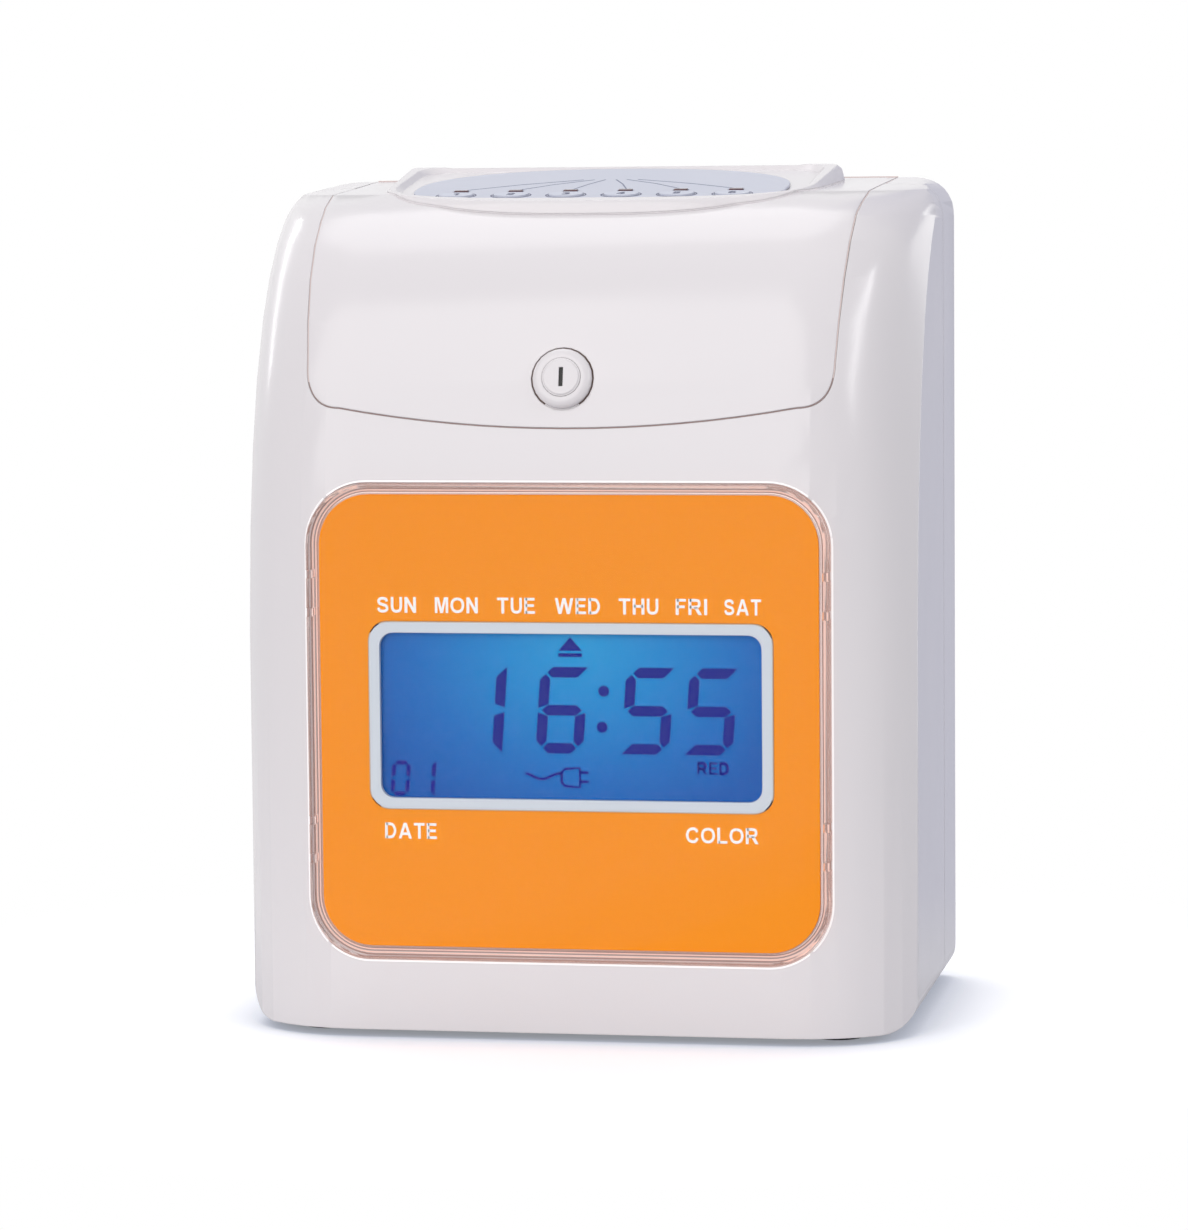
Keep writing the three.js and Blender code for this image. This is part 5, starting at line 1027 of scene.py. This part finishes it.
def window_ring(outer, inner):
    """Flat shapes between two insets of the window's outline."""
    outside, inside = window_line(outer), window_line(inner)
    count = len(outside)
    return [[outside[i], outside[(i + 1) % count], inside[(i + 1) % count], inside[i]] for i in range(count)]


def window_edge(name, outer, inner, lift, finish):
    """A painted highlight line on the shell's bevelled edge around the window, laid on the shell's own
    surface. Its points are about 6 mm apart on the straights, so that it follows the curved front."""
    shell = nodes["front_shell"]
    surface = BVHTree.FromPolygons(
        [shell.matrix_world @ point.co for point in shell.data.vertices],
        [list(face.vertices) for face in shell.data.polygons],
    )
    rows = []
    for inset in (outer, inner):
        line = window_line(inset)
        row = []
        for (x, z), (after_x, after_z) in zip(line, line[1:] + line[:1]):
            parts = max(1, round(math.hypot(after_x - x, after_z - z) / 6))
            for part in range(parts):
                share = part / parts
                start = Vector((x + (after_x - x) * share, -90, z + (after_z - z) * share))
                met = surface.ray_cast(start * MM, Vector((0, 1, 0)))[0]
                row.append(met / MM - Vector((0, lift, 0)))
        rows.append(row)
    count = len(rows[0])
    faces = [(i, (i + 1) % count, count + (i + 1) % count, count + i) for i in range(count)]
    return new_piece(name, rows[0] + rows[1], faces, Matrix.Identity(4), finish, "housing")


# The painted highlight of the bevel round the window
window_edge("window_edge_painted_highlight", -0.82, -0.36, 0.02, painted_window_highlight)

# Painted reflections, painted glow and a painted highlight on the seat, seen through the cover's bent rim
for name, insets, finish in [
    ("window_rim_painted_reflections", WINDOW_PAINTED_REFLECTION_LINES, painted_rim_reflection_lines),
    ("window_rim_painted_glow", WINDOW_PAINTED_GLOW_BANDS, painted_rim_glow),
    ("window_seat_painted_highlight", [WINDOW_PAINTED_HIGHLIGHT], painted_window_highlight),
]:
    rings = [shape for outer, inner in insets for shape in window_ring(outer, inner)]
    new_piece(name, *layer(rings, INK), on_front(WINDOW_SEAT_Y), finish, "housing")


def screw_head(name, place, body, radius, rise, finish):
    """A pan head with a cross recess."""
    rings, steps = 12, 48
    points, faces = [(0, 0, rise * 0.3)], []
    for ring in range(1, rings + 1):
        share = ring / rings
        for step in range(steps):
            turn = 2 * math.pi * step / steps
            u, v = share * math.cos(turn), share * math.sin(turn)
            dome = rise * math.sqrt(max(0.0, 1 - 0.75 * share**2.5)) if ring < rings else 0.0
            arm = min(abs(u), abs(v)) < 0.11 and max(abs(u), abs(v)) < 0.55
            points.append((u * radius, v * radius, dome * (0.35 if arm else 1.0)))
    for step in range(steps):
        after = (step + 1) % steps
        faces.append((0, 1 + step, 1 + after))
        for ring in range(rings - 1):
            a, b = 1 + ring * steps, 1 + (ring + 1) * steps
            faces.append((a + step, b + step, b + after, a + after))
    return new_piece(name, points, faces, place, finish, body, True)


for number, (x, z) in enumerate(SCREW_PLACES, 1):
    screw_head(
        f"case_screw_{number}",
        on_back(SCREW_SEAT_Y) @ Matrix.Translation((-x, z, SCREW_LIFT)),
        "housing",
        SCREW_RADIUS,
        SCREW_RISE,
        screw_zinc,
    )

# Studio
floor_mesh = bpy.data.meshes.new("studio_floor")
floor_mesh.from_pydata([(-6, -6, 0), (6, -6, 0), (6, 9, 0), (-6, 9, 0)], [], [(0, 1, 2, 3)])
floor = bpy.data.objects.new("studio_floor", floor_mesh)
bpy.context.scene.collection.objects.link(floor)

# White paper with a painted contact shadow: its colour darkens to blue-grey only close to the part, by
# ambient occlusion, and it turns clear before the picture's edge
floor_finish, tree, output = blank_finish("white_studio_paper")
for_camera = add_node(tree, "ShaderNodeLightPath").outputs["Is Camera Ray"]
nearness = add_node(tree, "ShaderNodeAmbientOcclusion", {"Distance": 30 * MM}, samples=12)
openness = add_node(
    tree,
    "ShaderNodeMapRange",
    {"From Min": 0.15, "From Max": 0.95, "To Min": 0.0, "To Max": 1.0},
    {"Value": nearness.outputs["AO"]},
    interpolation_type="SMOOTHSTEP",
)
# Painted contact shadow: blue-grey colour where the part hems the paper in, white in the open
painted_contact_shadow = add_node(
    tree,
    "ShaderNodeMix",
    {6: linear("#A2A9BB"), 7: linear("#FFFFFF")},
    {0: openness.outputs[0]},
    data_type="RGBA",
)
seen_white = add_node(
    tree,
    "ShaderNodeMix",
    {6: linear("#DADBDE")},
    {0: for_camera, 7: painted_contact_shadow.outputs[2]},
    data_type="RGBA",
)
paper_glow = add_node(tree, "ShaderNodeMath", {1: 0.28}, {0: for_camera}, operation="MULTIPLY")
paper = add_node(
    tree,
    "ShaderNodeBsdfPrincipled",
    {"Roughness": 0.9, "Specular IOR Level": 0.0, "Emission Color": linear("#F4F8FF")},
    {"Base Color": seen_white.outputs[2], "Emission Strength": paper_glow.outputs[0]},
)
clear = add_node(tree, "ShaderNodeBsdfTransparent")
away = add_node(tree, "ShaderNodeVectorMath", None, {0: object_place(tree)}, operation="LENGTH")
fade = add_node(
    tree,
    "ShaderNodeMapRange",
    {"From Min": 0.1, "From Max": 0.24, "To Min": 0.0, "To Max": 1.0},
    {"Value": away.outputs["Value"]},
)
paper_mix = add_node(
    tree, "ShaderNodeMixShader", None, {0: fade.outputs[0], 1: paper.outputs[0], 2: clear.outputs[0]}
)
close_finish(tree, output, paper_mix)
floor_mesh.materials.append(floor_finish)

# The camera, clear plastic and gloss see a pure white world, and the part is lit by a dimmer one
world = bpy.data.worlds.new("studio_light")
bpy.context.scene.world = world
world.use_nodes = True
tree = world.node_tree
tree.nodes.clear()
ambient = add_node(tree, "ShaderNodeBackground", {"Color": linear("#F1F2FA"), "Strength": 0.5})
seen = add_node(tree, "ShaderNodeBackground", {"Color": linear("#FFFFFF"), "Strength": 1.0})
shown = either_ray(tree, "Is Camera Ray", "Is Transmission Ray", "Is Glossy Ray")
world_mix = add_node(
    tree, "ShaderNodeMixShader", None, {0: shown, 1: ambient.outputs[0], 2: seen.outputs[0]}
)
close_finish(tree, add_node(tree, "ShaderNodeOutputWorld"), world_mix)


def lamp(name, kind, towards, strength, colour, roll=0, **settings):
    """A lamp of a kind that shines from a direction on to the part's middle, turned on its own axis by a
    roll in degrees."""
    data = bpy.data.lights.new(name, kind)
    data.energy = strength
    data.color = linear(colour)[:3]
    for key, value in settings.items():
        setattr(data, key, value)
    thing = bpy.data.objects.new(name, data)
    thing.location = Vector(towards) + PART_MIDDLE
    thing.rotation_mode = "QUATERNION"
    spin = Quaternion((0, 0, 1), math.radians(roll))
    thing.rotation_quaternion = Vector(towards).to_track_quat("Z", "Y") @ spin
    bpy.context.scene.collection.objects.link(thing)
    return thing


def strip(name, towards, strength, roll, width, length):
    """A long narrow lamp that draws a streak of gloss along a shoulder of the case."""
    return lamp(
        name, "AREA", towards, strength, "#FFFFFF", roll, shape="RECTANGLE", size=width, size_y=length
    )


lamp("front_softbox", "SUN", (-0.3, -0.9, 0.35), 1.55, "#FFFCF9", angle=math.radians(60))
lamp("overhead_softbox", "SUN", (-0.2, 0.3, 0.9), 0.62, "#FFFFFF", angle=math.radians(40))
strip("edge_strip", (1.25, -0.3, 0.7), 3.0, -58, 0.045, 1.1)
strip("left_edge_strip", (-1.05, 0.88, 0.4), 0.9, 45, 0.025, 0.65)


def card(name, start, end, low, top, colour, strength=1.0):
    """An upright card behind the part, seen only in its shading and gloss. start and end are where its foot
    runs from and to, low how far it reaches under the floor and top its height, in metres."""
    mesh = bpy.data.meshes.new(name)
    mesh.from_pydata([(*start, -low), (*end, -low), (*end, top), (*start, top)], [], [(0, 1, 2, 3)])
    finish, tree, output = blank_finish(name)
    glow = add_node(tree, "ShaderNodeEmission", {"Color": linear(colour), "Strength": strength})
    close_finish(tree, output, glow)
    mesh.materials.append(finish)
    thing = bpy.data.objects.new(name, mesh)
    thing.visible_camera = False
    thing.visible_shadow = False
    thing.visible_transmission = False
    bpy.context.scene.collection.objects.link(thing)


card("right_grey_card", (0.05, 0.9), (0.9, 0.7), 0.6, 1.5, "#B4B6C8")
card("crease_light_card", (0.67, 0.52), (0.43, 0.74), 0.02, 0.5, "#FFFFFF", 2.6)

# Camera
level_share = math.cos(CAMERA_RISE)
back = Vector(
    (math.sin(CAMERA_TURN) * level_share, -math.cos(CAMERA_TURN) * level_share, math.sin(CAMERA_RISE))
)
level = Vector((math.cos(CAMERA_TURN), math.sin(CAMERA_TURN), 0))
rising = back.cross(level)
right = level * math.cos(CAMERA_ROLL) + rising * math.sin(CAMERA_ROLL)
up = rising * math.cos(CAMERA_ROLL) - level * math.sin(CAMERA_ROLL)
camera_data = bpy.data.cameras.new("photo_camera")
camera_data.lens = CAMERA_LENS
camera_data.sensor_width = 36
camera_data.clip_start = 0.05
camera_data.clip_end = 50
camera = bpy.data.objects.new("photo_camera", camera_data)
camera.matrix_world = Matrix.Translation((CAMERA_AIM + back * CAMERA_DISTANCE) * MM) @ Matrix(
    (right, up, back)
).transposed().to_4x4()
bpy.context.scene.collection.objects.link(camera)
bpy.context.scene.camera = camera
bpy.context.scene.view_settings.view_transform = "Standard"
